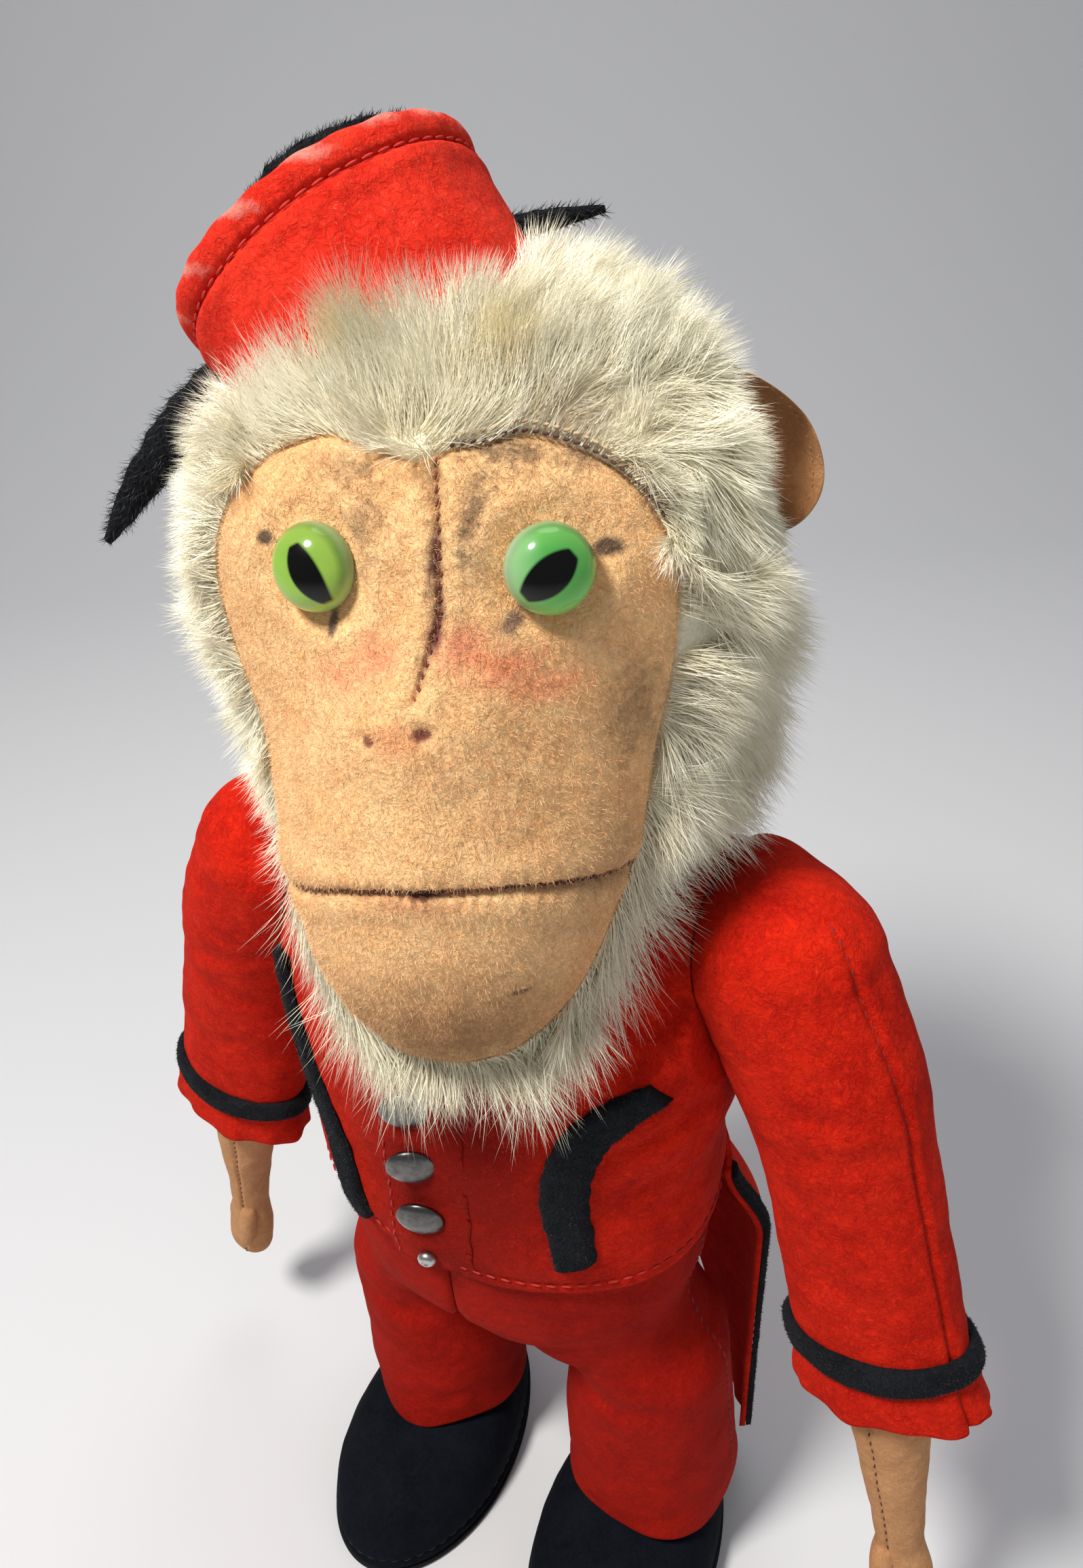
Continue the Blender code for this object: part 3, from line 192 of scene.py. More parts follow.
def tubeMesh(name, rings, finish):
    # a closed tube: both ends are capped round their middles
    around = len(rings[0])
    verts = np.concatenate(list(rings) + [[rings[0].mean(axis=0)], [rings[-1].mean(axis=0)]])
    faces = ringFaces(len(rings), around) + capFaces(0, around, len(verts) - 2)
    faces += capFaces((len(rings) - 1) * around, around, len(verts) - 1)
    return faceOutwards(makeMesh(name, verts, faces, finish))


def sheetMesh(name, outer, inner, finish):
    rows, columns = outer.shape[:2]
    verts = np.concatenate([outer.reshape(-1, 3), inner.reshape(-1, 3)])
    under = rows * columns
    faces = []
    for r in range(rows - 1):
        for c in range(columns - 1):
            a = r * columns + c
            quad = (a, a + 1, a + columns + 1, a + columns)
            faces += [quad, tuple(under + v for v in reversed(quad))]
    rim = [(0, c) for c in range(columns - 1)] + [(r, columns - 1) for r in range(rows - 1)]
    rim += [(rows - 1, c) for c in range(columns - 1, 0, -1)] + [(r, 0) for r in range(rows - 1, 0, -1)]
    edge = [r * columns + c for r, c in rim]
    faces += [(a, b, b + under, a + under) for a, b in zip(edge, edge[1:] + edge[:1])]
    return faceOutwards(makeMesh(name, verts, faces, finish))


def standIn(piece, *nodes):
    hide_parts(*nodes)


def settle(piece, body, *nodes):
    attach(piece, body)
    standIn(piece, *nodes)


def unit(vectors, spare=0.0):
    return vectors / (np.linalg.norm(vectors, axis=-1, keepdims=True) + spare)


def circleOf(count):
    return np.linspace(0, 2 * math.pi, count, endpoint=False)


def levelOut(ring, spare=0.0):
    # unit directions out from a ring's middle, kept level
    out = ring - ring.mean(axis=0)
    out[:, 2] = 0
    return unit(out, spare)


def apartFrom(turn, seam):
    # the angle from a seam, which is given in half turns
    return np.arctan2(np.sin(turn - seam * math.pi), np.cos(turn - seam * math.pi))


def ringOf(x, y, z):
    return np.stack([x, y, np.full(len(x), float(z))], axis=1)


def lumps(points, size, seed=0.0):
    return np.array([noise.noise(Vector((p[0] / size + seed, p[1] / size, p[2] / size)))
                     for p in points.reshape(-1, 3)])


def creaseDepth(points, creases):
    # valleys along segments: (from, to, half width, depth)
    total = np.zeros(len(points))
    for start, end, width, depth in creases:
        a, b = np.array(start, float), np.array(end, float)
        along = b - a
        t = np.clip(((points - a) @ along) / (along @ along), 0, 1)
        far = np.linalg.norm(points - (a + t[:, None] * along), axis=1)
        fade = 0.35 + 0.65 * np.sin(math.pi * np.clip(t, 0.02, 0.98))
        total += depth * fade * (np.exp(-(far / width) ** 2) - 0.35 * np.exp(-((far - 1.9 * width) / width) ** 2))
    return total


# Materials

def nodeIn(tree, kind, **settings):
    made = tree.nodes.new(kind)
    inputs = settings.pop("inputs", {})
    for key, value in settings.items():
        setattr(made, key, value)
    for key, value in inputs.items():
        if isinstance(value, bpy.types.NodeSocket):
            tree.links.new(value, made.inputs[key])
        else:
            made.inputs[key].default_value = value
    return made


def remap(tree, value, low, high, first=0.0, last=1.0, **settings):
    values = {"Value": value, "From Min": low, "From Max": high, "To Min": first, "To Max": last}
    return nodeIn(tree, "ShaderNodeMapRange", inputs=values, **settings).outputs[0]


def grain(tree, place, scale, detail, roughness=0.5, distortion=0.0):
    values = {"Vector": place, "Scale": scale, "Detail": detail, "Roughness": roughness, "Distortion": distortion}
    return nodeIn(tree, "ShaderNodeTexNoise", inputs=values).outputs["Fac"]


def sumOf(tree, operation, *values):
    return nodeIn(tree, "ShaderNodeMath", operation=operation, inputs=dict(enumerate(values))).outputs[0]


def vectorOf(tree, operation, *values):
    made = nodeIn(tree, "ShaderNodeVectorMath", operation=operation, inputs=dict(enumerate(values)))
    return made.outputs["Value" if operation == "LENGTH" else "Vector"]


def mixValue(tree, share, first, second):
    return nodeIn(tree, "ShaderNodeMix", data_type="FLOAT", inputs={0: share, 2: first, 3: second}).outputs[0]


def startGroup(name, inputs, outputs, kind="ShaderNodeTree"):
    group = bpy.data.node_groups.new(name, kind)
    for label, socketKind, value in inputs:
        socket = group.interface.new_socket(name=label, in_out="INPUT", socket_type=socketKind)
        if value is not None:
            socket.default_value = value
    for label, socketKind in outputs:
        group.interface.new_socket(name=label, in_out="OUTPUT", socket_type=socketKind)
    return group, group.nodes.new("NodeGroupInput"), group.nodes.new("NodeGroupOutput")


def makeFibreGroup():
    # felted wool: matted fibres, small nubs and pale lint
    group, given, result = startGroup("feltFibres", [
        ("Vector", "NodeSocketVector", None), ("Fibre Scale", "NodeSocketFloat", 900.0),
        ("Nub Scale", "NodeSocketFloat", 420.0), ("Nub Share", "NodeSocketFloat", 0.5)],
        [("Height", "NodeSocketFloat"), ("Tone", "NodeSocketFloat"), ("Lint", "NodeSocketFloat")])
    place = given.outputs["Vector"]
    warp = nodeIn(group, "ShaderNodeTexNoise", inputs={"Vector": place, "Scale": 260.0, "Detail": 2.0}).outputs["Color"]
    shifted = vectorOf(group, "MULTIPLY_ADD", warp, (0.004, 0.004, 0.004), place)
    fibre = grain(group, shifted, given.outputs["Fibre Scale"], 4.0, 0.7, 1.6)
    nub = grain(group, place, given.outputs["Nub Scale"], 3.0, 0.6)
    height = mixValue(group, given.outputs["Nub Share"], fibre, nub)
    height = sumOf(group, "MULTIPLY_ADD", grain(group, place, 170.0, 2.0), 1.1, height)
    tone = mixValue(group, 0.5, grain(group, place, 90.0, 7.0, 0.72), fibre)
    lint = remap(group, grain(group, shifted, 1400.0, 2.0, 0.5, 2.5), 0.66, 0.74)
    for label, value in (("Height", height), ("Tone", tone), ("Lint", lint)):
        group.links.new(value, result.inputs[label])
    return group


def makeSpotGroup():
    # a soft patch of colour round a point, broken up by the cloth; it paints stains and worn spots, and also painted
    # shade
    group, given, result = startGroup("softSpot", [
        ("Vector", "NodeSocketVector", None), ("Centre", "NodeSocketVector", None),
        ("Stretch", "NodeSocketVector", (100.0, 100.0, 100.0)), ("Softness", "NodeSocketFloat", 0.5),
        ("Breakup", "NodeSocketFloat", 0.4)], [("Mask", "NodeSocketFloat")])
    place, centre, stretch, softness, breakup = (given.outputs[k] for k in range(5))
    far = vectorOf(group, "LENGTH", vectorOf(group, "MULTIPLY", vectorOf(group, "SUBTRACT", place, centre), stretch))
    ragged = sumOf(group, "SUBTRACT", grain(group, place, 520.0, 4.0, 0.7), 0.5)
    rough = sumOf(group, "MULTIPLY_ADD", ragged, breakup, far)
    inner = sumOf(group, "SUBTRACT", 1.0, softness)
    mask = remap(group, rough, inner, 1.0, 1.0, 0.0, interpolation_type="SMOOTHSTEP")
    group.links.new(mask, result.inputs["Mask"])
    return group


fibreGroup = makeFibreGroup()
spotGroup = makeSpotGroup()


def startMaterial(name):
    made = bpy.data.materials.new(name)
    made.use_nodes = True
    tree = made.node_tree
    place = tree.nodes.new("ShaderNodeTexCoord").outputs["Object"]
    return made, tree, tree.nodes["Principled BSDF"], place


def mixColour(tree, share, first, second):
    made = nodeIn(tree, "ShaderNodeMix", data_type="RGBA", inputs={0: share})
    for socket, value in ((made.inputs[6], first), (made.inputs[7], second)):
        if isinstance(value, bpy.types.NodeSocket):
            tree.links.new(value, socket)
        else:
            socket.default_value = (*value, 1.0)
    return made.outputs[2]


def addSpots(tree, place, colour, spots):
    # spots: centre in metres, half sizes in mm, colour, strength, softness, breakup
    for centre, half, tint, strength, softness, breakup in spots:
        stretch = tuple(1000.0 / h for h in half)
        spot = nodeIn(tree, "ShaderNodeGroup", node_tree=spotGroup, inputs={
            "Vector": place, "Centre": tuple(centre), "Stretch": stretch, "Softness": softness, "Breakup": breakup})
        colour = mixColour(tree, sumOf(tree, "MULTIPLY", spot.outputs["Mask"], strength), colour, tint)
    return colour


def addBump(tree, shader, strength, distance, height):
    bump = nodeIn(tree, "ShaderNodeBump", inputs={"Strength": strength, "Distance": distance, "Height": height})
    tree.links.new(bump.outputs[0], shader.inputs["Normal"])


def dress(shader, values):
    for socket, value in values.items():
        shader.inputs[socket].default_value = value


def makeFelt(name, look):
    made, tree, shader, place = startMaterial(name)
    fibres = nodeIn(tree, "ShaderNodeGroup", node_tree=fibreGroup, inputs={
        "Vector": place, "Fibre Scale": look.get("fibreScale", 900.0), "Nub Scale": look.get("nubScale", 420.0),
        "Nub Share": look.get("nubShare", 0.5)}).outputs
    colour = mixColour(tree, remap(tree, fibres["Tone"], 0.40, 0.60), look["dark"], look["light"])
    colour = addSpots(tree, place, colour, look.get("spots", ()))
    if "seamTint" in look:
        seam = nodeIn(tree, "ShaderNodeAttribute", attribute_name="seamTint").outputs["Fac"]
        colour = mixColour(tree, seam, colour, look["seamTint"])
    lint = sumOf(tree, "MULTIPLY", fibres["Lint"], look.get("lintShare", 0.35))
    tree.links.new(mixColour(tree, lint, colour, look["lint"]), shader.inputs["Base Color"])
    addBump(tree, shader, look.get("bump", 0.55), look.get("bumpDistance", 0.0009), fibres["Height"])
    dress(shader, {"Roughness": 0.92, "Specular IOR Level": 0.08, "Sheen Weight": look.get("sheen", 0.12),
                   "Sheen Roughness": 0.5, "Sheen Tint": (*look["lint"], 1.0)})
    return made


def makeMetal(name, light, dark, roughness):
    made, tree, shader, place = startMaterial(name)
    tarnish = grain(tree, place, 600.0, 6.0, 0.7)
    tree.links.new(mixColour(tree, remap(tree, tarnish, 0.4, 0.66), light, dark), shader.inputs["Base Color"])
    rough = remap(tree, tarnish, 0.35, 0.7, roughness - 0.08, roughness + 0.2)
    tree.links.new(rough, shader.inputs["Roughness"])
    dress(shader, {"Metallic": 1.0})
    addBump(tree, shader, 0.15, 0.0002, tarnish)
    return made


def makeHairFinish(name, look):
    # hair strands: painted shade darkening each strand towards its root, and patches of other colour from the given
    # spots
    made, tree, shader, place = startMaterial(name)
    along = nodeIn(tree, "ShaderNodeAttribute", attribute_name="alongHair").outputs["Fac"]
    tone = remap(tree, grain(tree, place, 240.0, 4.0, 0.75), 0.35, 0.65)
    colour = addSpots(tree, place, mixColour(tree, tone, look["dark"], look["light"]), look.get("spots", ()))
    # painted shade: near its root each strand is painted towards the root colour, where shade falls deep in the pile
    paintedRootShade = remap(tree, along, 0.0, 0.7, look.get("rootShadeShare", 0.55), 0.0)
    tree.links.new(mixColour(tree, paintedRootShade, colour, look["root"]), shader.inputs["Base Color"])
    dress(shader, {"Roughness": look.get("roughness", 0.42), "Specular IOR Level": look.get("specular", 0.5),
                   "Sheen Weight": 0.1})
    return made


def makeThread(name, colour):
    made, tree, shader, place = startMaterial(name)
    pale = tuple(min(1.0, c * 2.2 + 0.01) for c in colour)
    tree.links.new(mixColour(tree, grain(tree, place, 2400.0, 2.0), colour, pale), shader.inputs["Base Color"])
    dress(shader, {"Roughness": 0.8})
    return made


def headSpot(x, y, z):
    return inHead(np.array((x, y, z), float))


dirt = (0.035, 0.022, 0.028)
finishes = {}
finishes["jacket"] = makeFelt("jacketFelt", {
    "light": (0.76, 0.022, 0.006), "dark": (0.44, 0.007, 0.003), "lint": (0.86, 0.12, 0.06), "bump": 0.85,
    "lintShare": 0.4, "sheen": 0.08,
    # painted shadow: a soft dark spot over the chest stands for the head's shadow falling on it
    "spots": [(inBody((4, -30, 140)), (33, 22, 60), (0.20, 0.005, 0.003), 0.85, 0.8, 0.3)]})
finishes["trousers"] = makeFelt("trouserFelt", {
    "light": (0.45, 0.012, 0.005), "dark": (0.28, 0.006, 0.003), "lint": (0.60, 0.07, 0.04), "bump": 0.6,
    "lintShare": 0.3, "sheen": 0.06})
finishes["black"] = makeFelt("blackFelt", {
    "light": (0.016, 0.018, 0.022), "dark": (0.005, 0.006, 0.008), "lint": (0.10, 0.11, 0.12), "bump": 0.8,
    "lintShare": 0.3})
finishes["shoe"] = makeFelt("shoeFelt", {
    "light": (0.007, 0.009, 0.014), "dark": (0.003, 0.004, 0.007), "lint": (0.05, 0.055, 0.065), "bump": 0.35,
    "lintShare": 0.15, "sheen": 0.02})
finishes["tan"] = makeFelt("tanFelt", {
    "light": (0.64, 0.33, 0.155), "dark": (0.50, 0.235, 0.10), "lint": (0.78, 0.54, 0.35), "bump": 0.7})
# stains and marks on the face, together with painted shade on the chin
faceMarksAndShade = [(headSpot(*at), *look) for at, *look in (
    ((-4.5, -31, 246.5), (5, 12, 4.5), (0.84, 0.13, 0.09), 0.45, 1.0, 0.9),
    ((-9.5, -30, 243.5), (6, 12, 4.5), (0.84, 0.15, 0.09), 0.40, 1.0, 0.9),
    ((5.5, -31, 247.5), (4.5, 12, 4), (0.82, 0.10, 0.09), 0.50, 1.0, 0.9),
    ((10.5, -29, 244.5), (6, 12, 3.8), (0.82, 0.11, 0.07), 0.50, 1.0, 0.9),
    ((15.5, -28, 241.5), (5.5, 12, 3.4), (0.82, 0.13, 0.08), 0.42, 1.0, 0.9),
    ((-2, -37, 238.3), (6.5, 8, 3.2), (0.80, 0.16, 0.08), 0.36, 1.0, 0.8),
    ((7.2, -24, 261), (2.2, 8, 10), dirt, 0.66, 1.0, 2.4),
    ((-6.0, -25, 261), (3.8, 8, 8), dirt, 0.42, 1.0, 2.4),
    ((-9.5, -22, 266), (7, 8, 3.4), dirt, 0.40, 1.0, 1.9),
    ((2.8, -26, 256), (1.0, 8, 7), (0.08, 0.02, 0.05), 0.75, 0.9, 1.2),
    ((2.4, -31, 249.5), (1.3, 8, 5), (0.20, 0.02, 0.06), 0.8, 0.9, 0.9),
    ((11.5, -21, 268), (10, 6, 3.2), dirt, 0.66, 1.0, 2.2),
    ((20.5, -16, 267.2), (10, 7, 3.8), dirt, 0.75, 1.0, 2.1),
    ((28.5, -13, 260), (4, 7, 8), dirt, 0.6, 1.0, 1.7),
    ((25, -22, 235), (4.2, 8, 10), dirt, 0.42, 1.0, 2.4),
    ((-20.6, -23, 257.5), (1.6, 5, 1.3), (0.02, 0.018, 0.03), 0.85, 0.6, 0.6),
    ((21.9, -22, 256.6), (2.6, 5, 1.5), (0.02, 0.018, 0.03), 0.85, 0.6, 0.6),
    ((-11.0, -28, 249.0), (1.0, 5, 2.4), (0.03, 0.025, 0.05), 0.8, 0.6, 0.6),
    ((11.2, -28, 249.6), (1.4, 5, 2.0), (0.04, 0.03, 0.06), 0.7, 0.7, 0.6),
    ((-5.6, -36.4, 237.5), (1.2, 4, 0.9), (0.16, 0.02, 0.03), 0.85, 0.6, 0.4),
    ((1.4, -36.7, 239.1), (1.5, 4, 1.1), (0.16, 0.02, 0.03), 0.85, 0.6, 0.4),
    ((0.4, -42.5, 218.8), (3.4, 4, 1.1), (0.03, 0.012, 0.014), 0.9, 0.6, 0.5),
    ((-1, -42.5, 217.2), (15, 7, 2.2), (0.42, 0.06, 0.04), 0.35, 1.0, 0.9),
    ((11.2, -40, 201.1), (1.6, 4, 0.7), (0.05, 0.03, 0.03), 0.8, 0.6, 0.5),
    # painted shade: the chin, which faces down, is painted darker brown
    ((0, -38, 193), (30, 18, 19), (0.40, 0.20, 0.09), 0.92, 1.0, 0.8),
    ((24, -30, 214), (12, 12, 12), (0.40, 0.20, 0.10), 0.4, 1.0, 0.8),
)]
finishes["face"] = makeFelt("faceFelt", {
    "light": (0.99, 0.65, 0.325), "dark": (0.91, 0.50, 0.22), "lint": (0.97, 0.78, 0.55), "bump": 1.0,
    "bumpDistance": 0.0010,
    "fibreScale": 800.0, "nubScale": 560.0, "nubShare": 0.55, "lintShare": 0.4, "seamTint": (0.10, 0.02, 0.02),
    "spots": faceMarksAndShade})
finishes["faceFuzz"] = makeHairFinish("faceFuzz", {
    "light": (0.99, 0.71, 0.43), "dark": (0.92, 0.54, 0.27), "root": (0.90, 0.50, 0.23), "rootShadeShare": 0.4,
    "roughness": 0.7, "specular": 0.2,
    "spots": faceMarksAndShade})
hairSpots = [
    (headSpot(-11, -11, 281), (7, 9, 7), (0.88, 0.73, 0.40), 0.85, 0.9, 0.5),
    (headSpot(9.5, -12, 280), (6, 9, 8), (0.84, 0.71, 0.42), 0.85, 0.9, 0.5),
    (headSpot(19, -15, 271), (13, 8, 4), (0.36, 0.26, 0.15), 0.75, 0.9, 0.7),
]
finishes["hair"] = makeHairFinish("mohairPile", {
    "light": (0.97, 0.94, 0.79), "dark": (0.88, 0.82, 0.62), "root": (0.80, 0.72, 0.50), "rootShadeShare": 0.66,
    "spots": hairSpots, "roughness": 0.36})
finishes["hairCloth"] = makeFelt("mohairCloth", {
    "light": (0.88, 0.84, 0.68), "dark": (0.70, 0.63, 0.44), "lint": (0.90, 0.87, 0.74), "bump": 0.8, "nubShare": 0.8,
    "nubScale": 900.0,
    "spots": [(headSpot(18, -17, 270), (12, 8, 5), (0.26, 0.17, 0.09), 0.7, 0.8, 0.8)]})
finishes["blackHair"] = makeHairFinish("blackFuzz", {
    "light": (0.020, 0.022, 0.028), "dark": (0.006, 0.007, 0.009), "root": (0.003, 0.003, 0.004), "roughness": 0.55,
    "specular": 0.3})
finishes["button"] = makeMetal("wornGunmetal", (0.17, 0.165, 0.16), (0.11, 0.105, 0.10), 0.26)
finishes["steel"] = makeMetal("dullSteel", (0.62, 0.61, 0.60), (0.35, 0.33, 0.31), 0.32)
threadLooks = (
    ("darkThread", "brownThread", (0.05, 0.018, 0.014)), ("browThread", "browThread", (0.16, 0.05, 0.035)),
    ("mouthThread", "mouthThread", (0.07, 0.014, 0.022)), ("redThread", "redThread", (0.16, 0.008, 0.010)),
    ("weave", "weaveThread", (0.34, 0.24, 0.14)), ("earThread", "earThread", (0.42, 0.19, 0.09)),
    ("hatThread", "hatThread", (0.34, 0.014, 0.010)), ("jacketThread", "jacketThread", (0.30, 0.012, 0.010)),
    ("brightThread", "brightRedThread", (0.70, 0.02, 0.012)),
)
for word, label, tint in threadLooks:
    finishes[word] = makeThread(label, tint)
print("materials made")


# Geometry Nodes: stitches along a path, and hair over a surface

def startNodes(name, inputs):
    shape = ("Geometry", "NodeSocketGeometry")
    return startGroup(name, [(*shape, None)] + inputs, [shape], "GeometryNodeTree")


def finishNodes(tree, given, result, laid, smooth=False):
    # turns the laid instances into one mesh with the given material
    real = nodeIn(tree, "GeometryNodeRealizeInstances", inputs={0: laid}).outputs[0]
    if smooth:
        real = nodeIn(tree, "GeometryNodeSetShadeSmooth", inputs={0: real}).outputs[0]
    coloured = nodeIn(tree, "GeometryNodeSetMaterial", inputs={"Geometry": real, "Material": given["Material"]})
    tree.links.new(coloured.outputs[0], result.inputs[0])
    return tree


def turnedBy(tree, rotation, **angles):
    # adds a turn about the strand's or stitch's own axes
    axes = {"xyz".index(axis): value for axis, value in angles.items()}
    turn = nodeIn(tree, "FunctionNodeEulerToRotation",
                  inputs={0: nodeIn(tree, "ShaderNodeCombineXYZ", inputs=axes).outputs[0]})
    return nodeIn(tree, "FunctionNodeRotateRotation", rotation_space="LOCAL",
                  inputs={0: rotation, 1: turn.outputs[0]}).outputs[0]


def makeStitchTree():
    tree, given, result = startNodes("stitchesAlongPath", [
        ("Spacing", "NodeSocketFloat", 0.0025), ("Stitch Length", "NodeSocketFloat", 0.0016),
        ("Thread Radius", "NodeSocketFloat", 0.0003), ("Slant", "NodeSocketFloat", 0.0),
        ("Material", "NodeSocketMaterial", None)])
    given = given.outputs
    path = nodeIn(tree, "GeometryNodeMeshToCurve", inputs={"Mesh": given["Geometry"]})
    points = nodeIn(tree, "GeometryNodeCurveToPoints", mode="LENGTH",
                    inputs={"Curve": path.outputs[0], "Length": given["Spacing"]})
    stitch = nodeIn(tree, "GeometryNodeMeshUVSphere", inputs={"Segments": 6, "Rings": 5, "Radius": 1.0})
    half = sumOf(tree, "MULTIPLY", given["Stitch Length"], 0.5)
    size = nodeIn(tree, "ShaderNodeCombineXYZ", inputs={0: given["Thread Radius"], 1: given["Thread Radius"], 2: half})
    way = nodeIn(tree, "FunctionNodeAlignRotationToVector", axis="Z", inputs={"Vector": points.outputs["Tangent"]})
    laid = nodeIn(tree, "GeometryNodeInstanceOnPoints", inputs={
        "Points": points.outputs[0], "Instance": stitch.outputs[0],
        "Rotation": turnedBy(tree, way.outputs[0], x=given["Slant"]), "Scale": size.outputs[0]})
    return finishNodes(tree, given, result, laid.outputs[0], smooth=True)


def makeHairTree():
    tree, given, result = startNodes("hairOverSurface", [
        ("Strand", "NodeSocketObject", None), ("Density", "NodeSocketFloat", 1.0e6),
        ("Strand Width", "NodeSocketFloat", 0.0002),
        ("Spread", "NodeSocketFloat", 0.25), ("Seed", "NodeSocketInt", 1), ("Material", "NodeSocketMaterial", None)])
    given = given.outputs
    seed = given["Seed"]
    named = lambda name, kind: nodeIn(tree, "GeometryNodeInputNamedAttribute", data_type=kind,
                                      inputs={"Name": name}).outputs[0]
    vary = lambda low, high: nodeIn(
        tree, "FunctionNodeRandomValue", data_type="FLOAT", inputs={2: low, 3: high, "Seed": seed}).outputs[1]
    density = sumOf(tree, "MULTIPLY", named("pileDensity", "FLOAT"), given["Density"])
    points = nodeIn(tree, "GeometryNodeDistributePointsOnFaces", inputs={
        "Mesh": given["Geometry"], "Density": density, "Seed": seed})
    stray = nodeIn(tree, "FunctionNodeRandomValue", data_type="FLOAT_VECTOR", inputs={
        0: (-1, -1, -1), 1: (1, 1, 1), "Seed": seed})
    wander = nodeIn(tree, "ShaderNodeVectorMath", operation="SCALE",
                    inputs={0: stray.outputs[0], "Scale": given["Spread"]})
    way = vectorOf(tree, "ADD", named("comb", "FLOAT_VECTOR"), wander.outputs[0])
    aim = nodeIn(tree, "FunctionNodeAlignRotationToVector", axis="Z", inputs={"Vector": way})
    fullTurn = 6.2832
    turned = turnedBy(tree, aim.outputs[0], z=vary(0.0, fullTurn))
    tall = sumOf(tree, "MULTIPLY", named("pile", "FLOAT"), vary(0.62, 1.12))
    curl = sumOf(tree, "MULTIPLY", tall, vary(0.1, 1.7))
    size = nodeIn(tree, "ShaderNodeCombineXYZ", inputs={0: curl, 1: given["Strand Width"], 2: tall})
    strand = nodeIn(tree, "GeometryNodeObjectInfo", transform_space="ORIGINAL", inputs={0: given["Strand"]})
    laid = nodeIn(tree, "GeometryNodeInstanceOnPoints", inputs={
        "Points": points.outputs[0], "Instance": strand.outputs["Geometry"], "Rotation": turned,
        "Scale": size.outputs[0]})
    return finishNodes(tree, given, result, laid.outputs[0])


stitchTree = makeStitchTree()
hairTree = makeHairTree()


def bakedMesh(piece):
    bpy.context.view_layer.update()
    return bpy.data.meshes.new_from_object(piece.evaluated_get(bpy.context.evaluated_depsgraph_get()))


def grow(name, source, tree, values):
    # runs the tree on the source object and keeps the result as a plain mesh object
    step = source.modifiers.new("grow", "NODES")
    step.node_group = tree
    for item in tree.interface.items_tree:
        if item.item_type == "SOCKET" and item.in_out == "INPUT" and item.name in values:
            step[item.identifier] = values[item.name]
    mesh = bakedMesh(source)
    mesh.name = name
    made = linked(name, mesh)
    bpy.data.objects.remove(source, do_unlink=True)
    return made


def stitchRow(name, points, body, finish, spacing, length, radius, slant, closed=False):
    # points in metres along the seam; body is None where the caller leaves the row unattached and bakes its transform
    edges = [(i, i + 1) for i in range(len(points) - 1)]
    if closed:
        edges.append((len(points) - 1, 0))
    made = grow(name, plainMesh(name + "Path", points, edges, []), stitchTree, {
        "Spacing": spacing, "Stitch Length": length, "Thread Radius": radius, "Slant": slant, "Material": finish})
    if body:
        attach(made, body)
    return made


def makeStrand(name, bend, short):
    # a flat blade one unit long; x bends, y is the width and z runs along it
    widths = (1.0, 0.6) if short else (1.0, 0.85, 0.5)
    heights = np.linspace(0, 1, len(widths) + 1)
    verts, tones = [], []
    for height, width in zip(heights, widths):
        x = bend * height ** 1.8
        verts += [(x, -0.5 * width, height), (x, 0.5 * width, height)]
        tones += [height, height]
    verts.append((bend, 0, heights[-1]))
    tones.append(1.0)
    tip = len(verts) - 1
    made = plainMesh(name, verts, [],
                     [(k, k + 1, k + 3, k + 2) for k in range(0, tip - 2, 2)] + [(tip - 2, tip - 1, tip)])
    made.data.attributes.new("alongHair", "FLOAT", "POINT").data.foreach_set("value", tones)
    made.hide_render = True
    return made


def hairOver(name, verts, faces, comb, pile, density, settings, body, finish):
    source = plainMesh(name + "Ground", verts, [], faces)
    fields = {"comb": ("FLOAT_VECTOR", comb, "vector"), "pile": ("FLOAT", pile, "value"),
              "pileDensity": ("FLOAT", density, "value")}
    for label, (kind, values, key) in fields.items():
        attribute = source.data.attributes.new(label, kind, "POINT")
        attribute.data.foreach_set(key, np.asarray(values, np.float32).ravel())
    strand = makeStrand(name + "Strand", settings["bend"], settings.get("short", False))
    made = grow(name, source, hairTree, {
        "Strand": strand, "Density": settings["density"], "Strand Width": settings["width"],
        "Spread": settings["spread"], "Seed": settings["seed"], "Material": finish})
    bpy.data.objects.remove(strand, do_unlink=True)
    for label in fields:
        if label in made.data.attributes:
            made.data.attributes.remove(made.data.attributes[label])
    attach(made, body)
    print(name, len(made.data.polygons), "faces")


# Body: the jacket's closed shell, its front lap, trims and buttons

def bodyRing(z, beyond, around):
    halfX, halfY, midX, midY = curveThrough(bodySettings["rows"], [z])[0]
    turn = circleOf(around)
    p = 2 / bodySettings["power"]
    x = midX + (halfX + beyond) * np.sign(np.cos(turn)) * np.abs(np.cos(turn)) ** p
    y = midY + (halfY + beyond) * np.sign(np.sin(turn)) * np.abs(np.sin(turn)) ** p
    return ringOf(x, y, z)


def jacketOffset(z):
    return 2.0 + (0.3 - 2.0) * float(np.clip((z - bodySettings["trouserTopZ"]) / 12.0, 0, 1))


def onJacket(x, z, beyond):
    halfX, halfY, midX, midY = curveThrough(bodySettings["rows"], [z])[0]
    out = jacketOffset(z) + bodySettings["felt"] + beyond
    share = min(0.995, abs(x - midX) / (halfX + out))
    power = bodySettings["power"]
    return np.array([x, midY - (halfY + out) * (1 - share ** power) ** (1 / power), z])


def shoulderFrame(side):
    # the joint's middle, the way out of the body along its pin and the way up beside it
    tilt = math.radians(armSettings["tilt"])
    out = np.array((math.cos(tilt) * side, 0, math.sin(tilt)))
    up = np.array((-math.sin(tilt) * side, 0, math.cos(tilt)))
    return np.array(armSettings["shoulder"][side]), out, up


def armpitClamp(points):
    # keeps the jacket clear of each arm's flat inner face
    kept = points.copy()
    for side in (1, -1):
        centre, out, _ = shoulderFrame(side)
        past = (kept - centre) @ out + 0.25
        kept = kept - np.outer(np.clip(past, 0, None), out)
    return kept


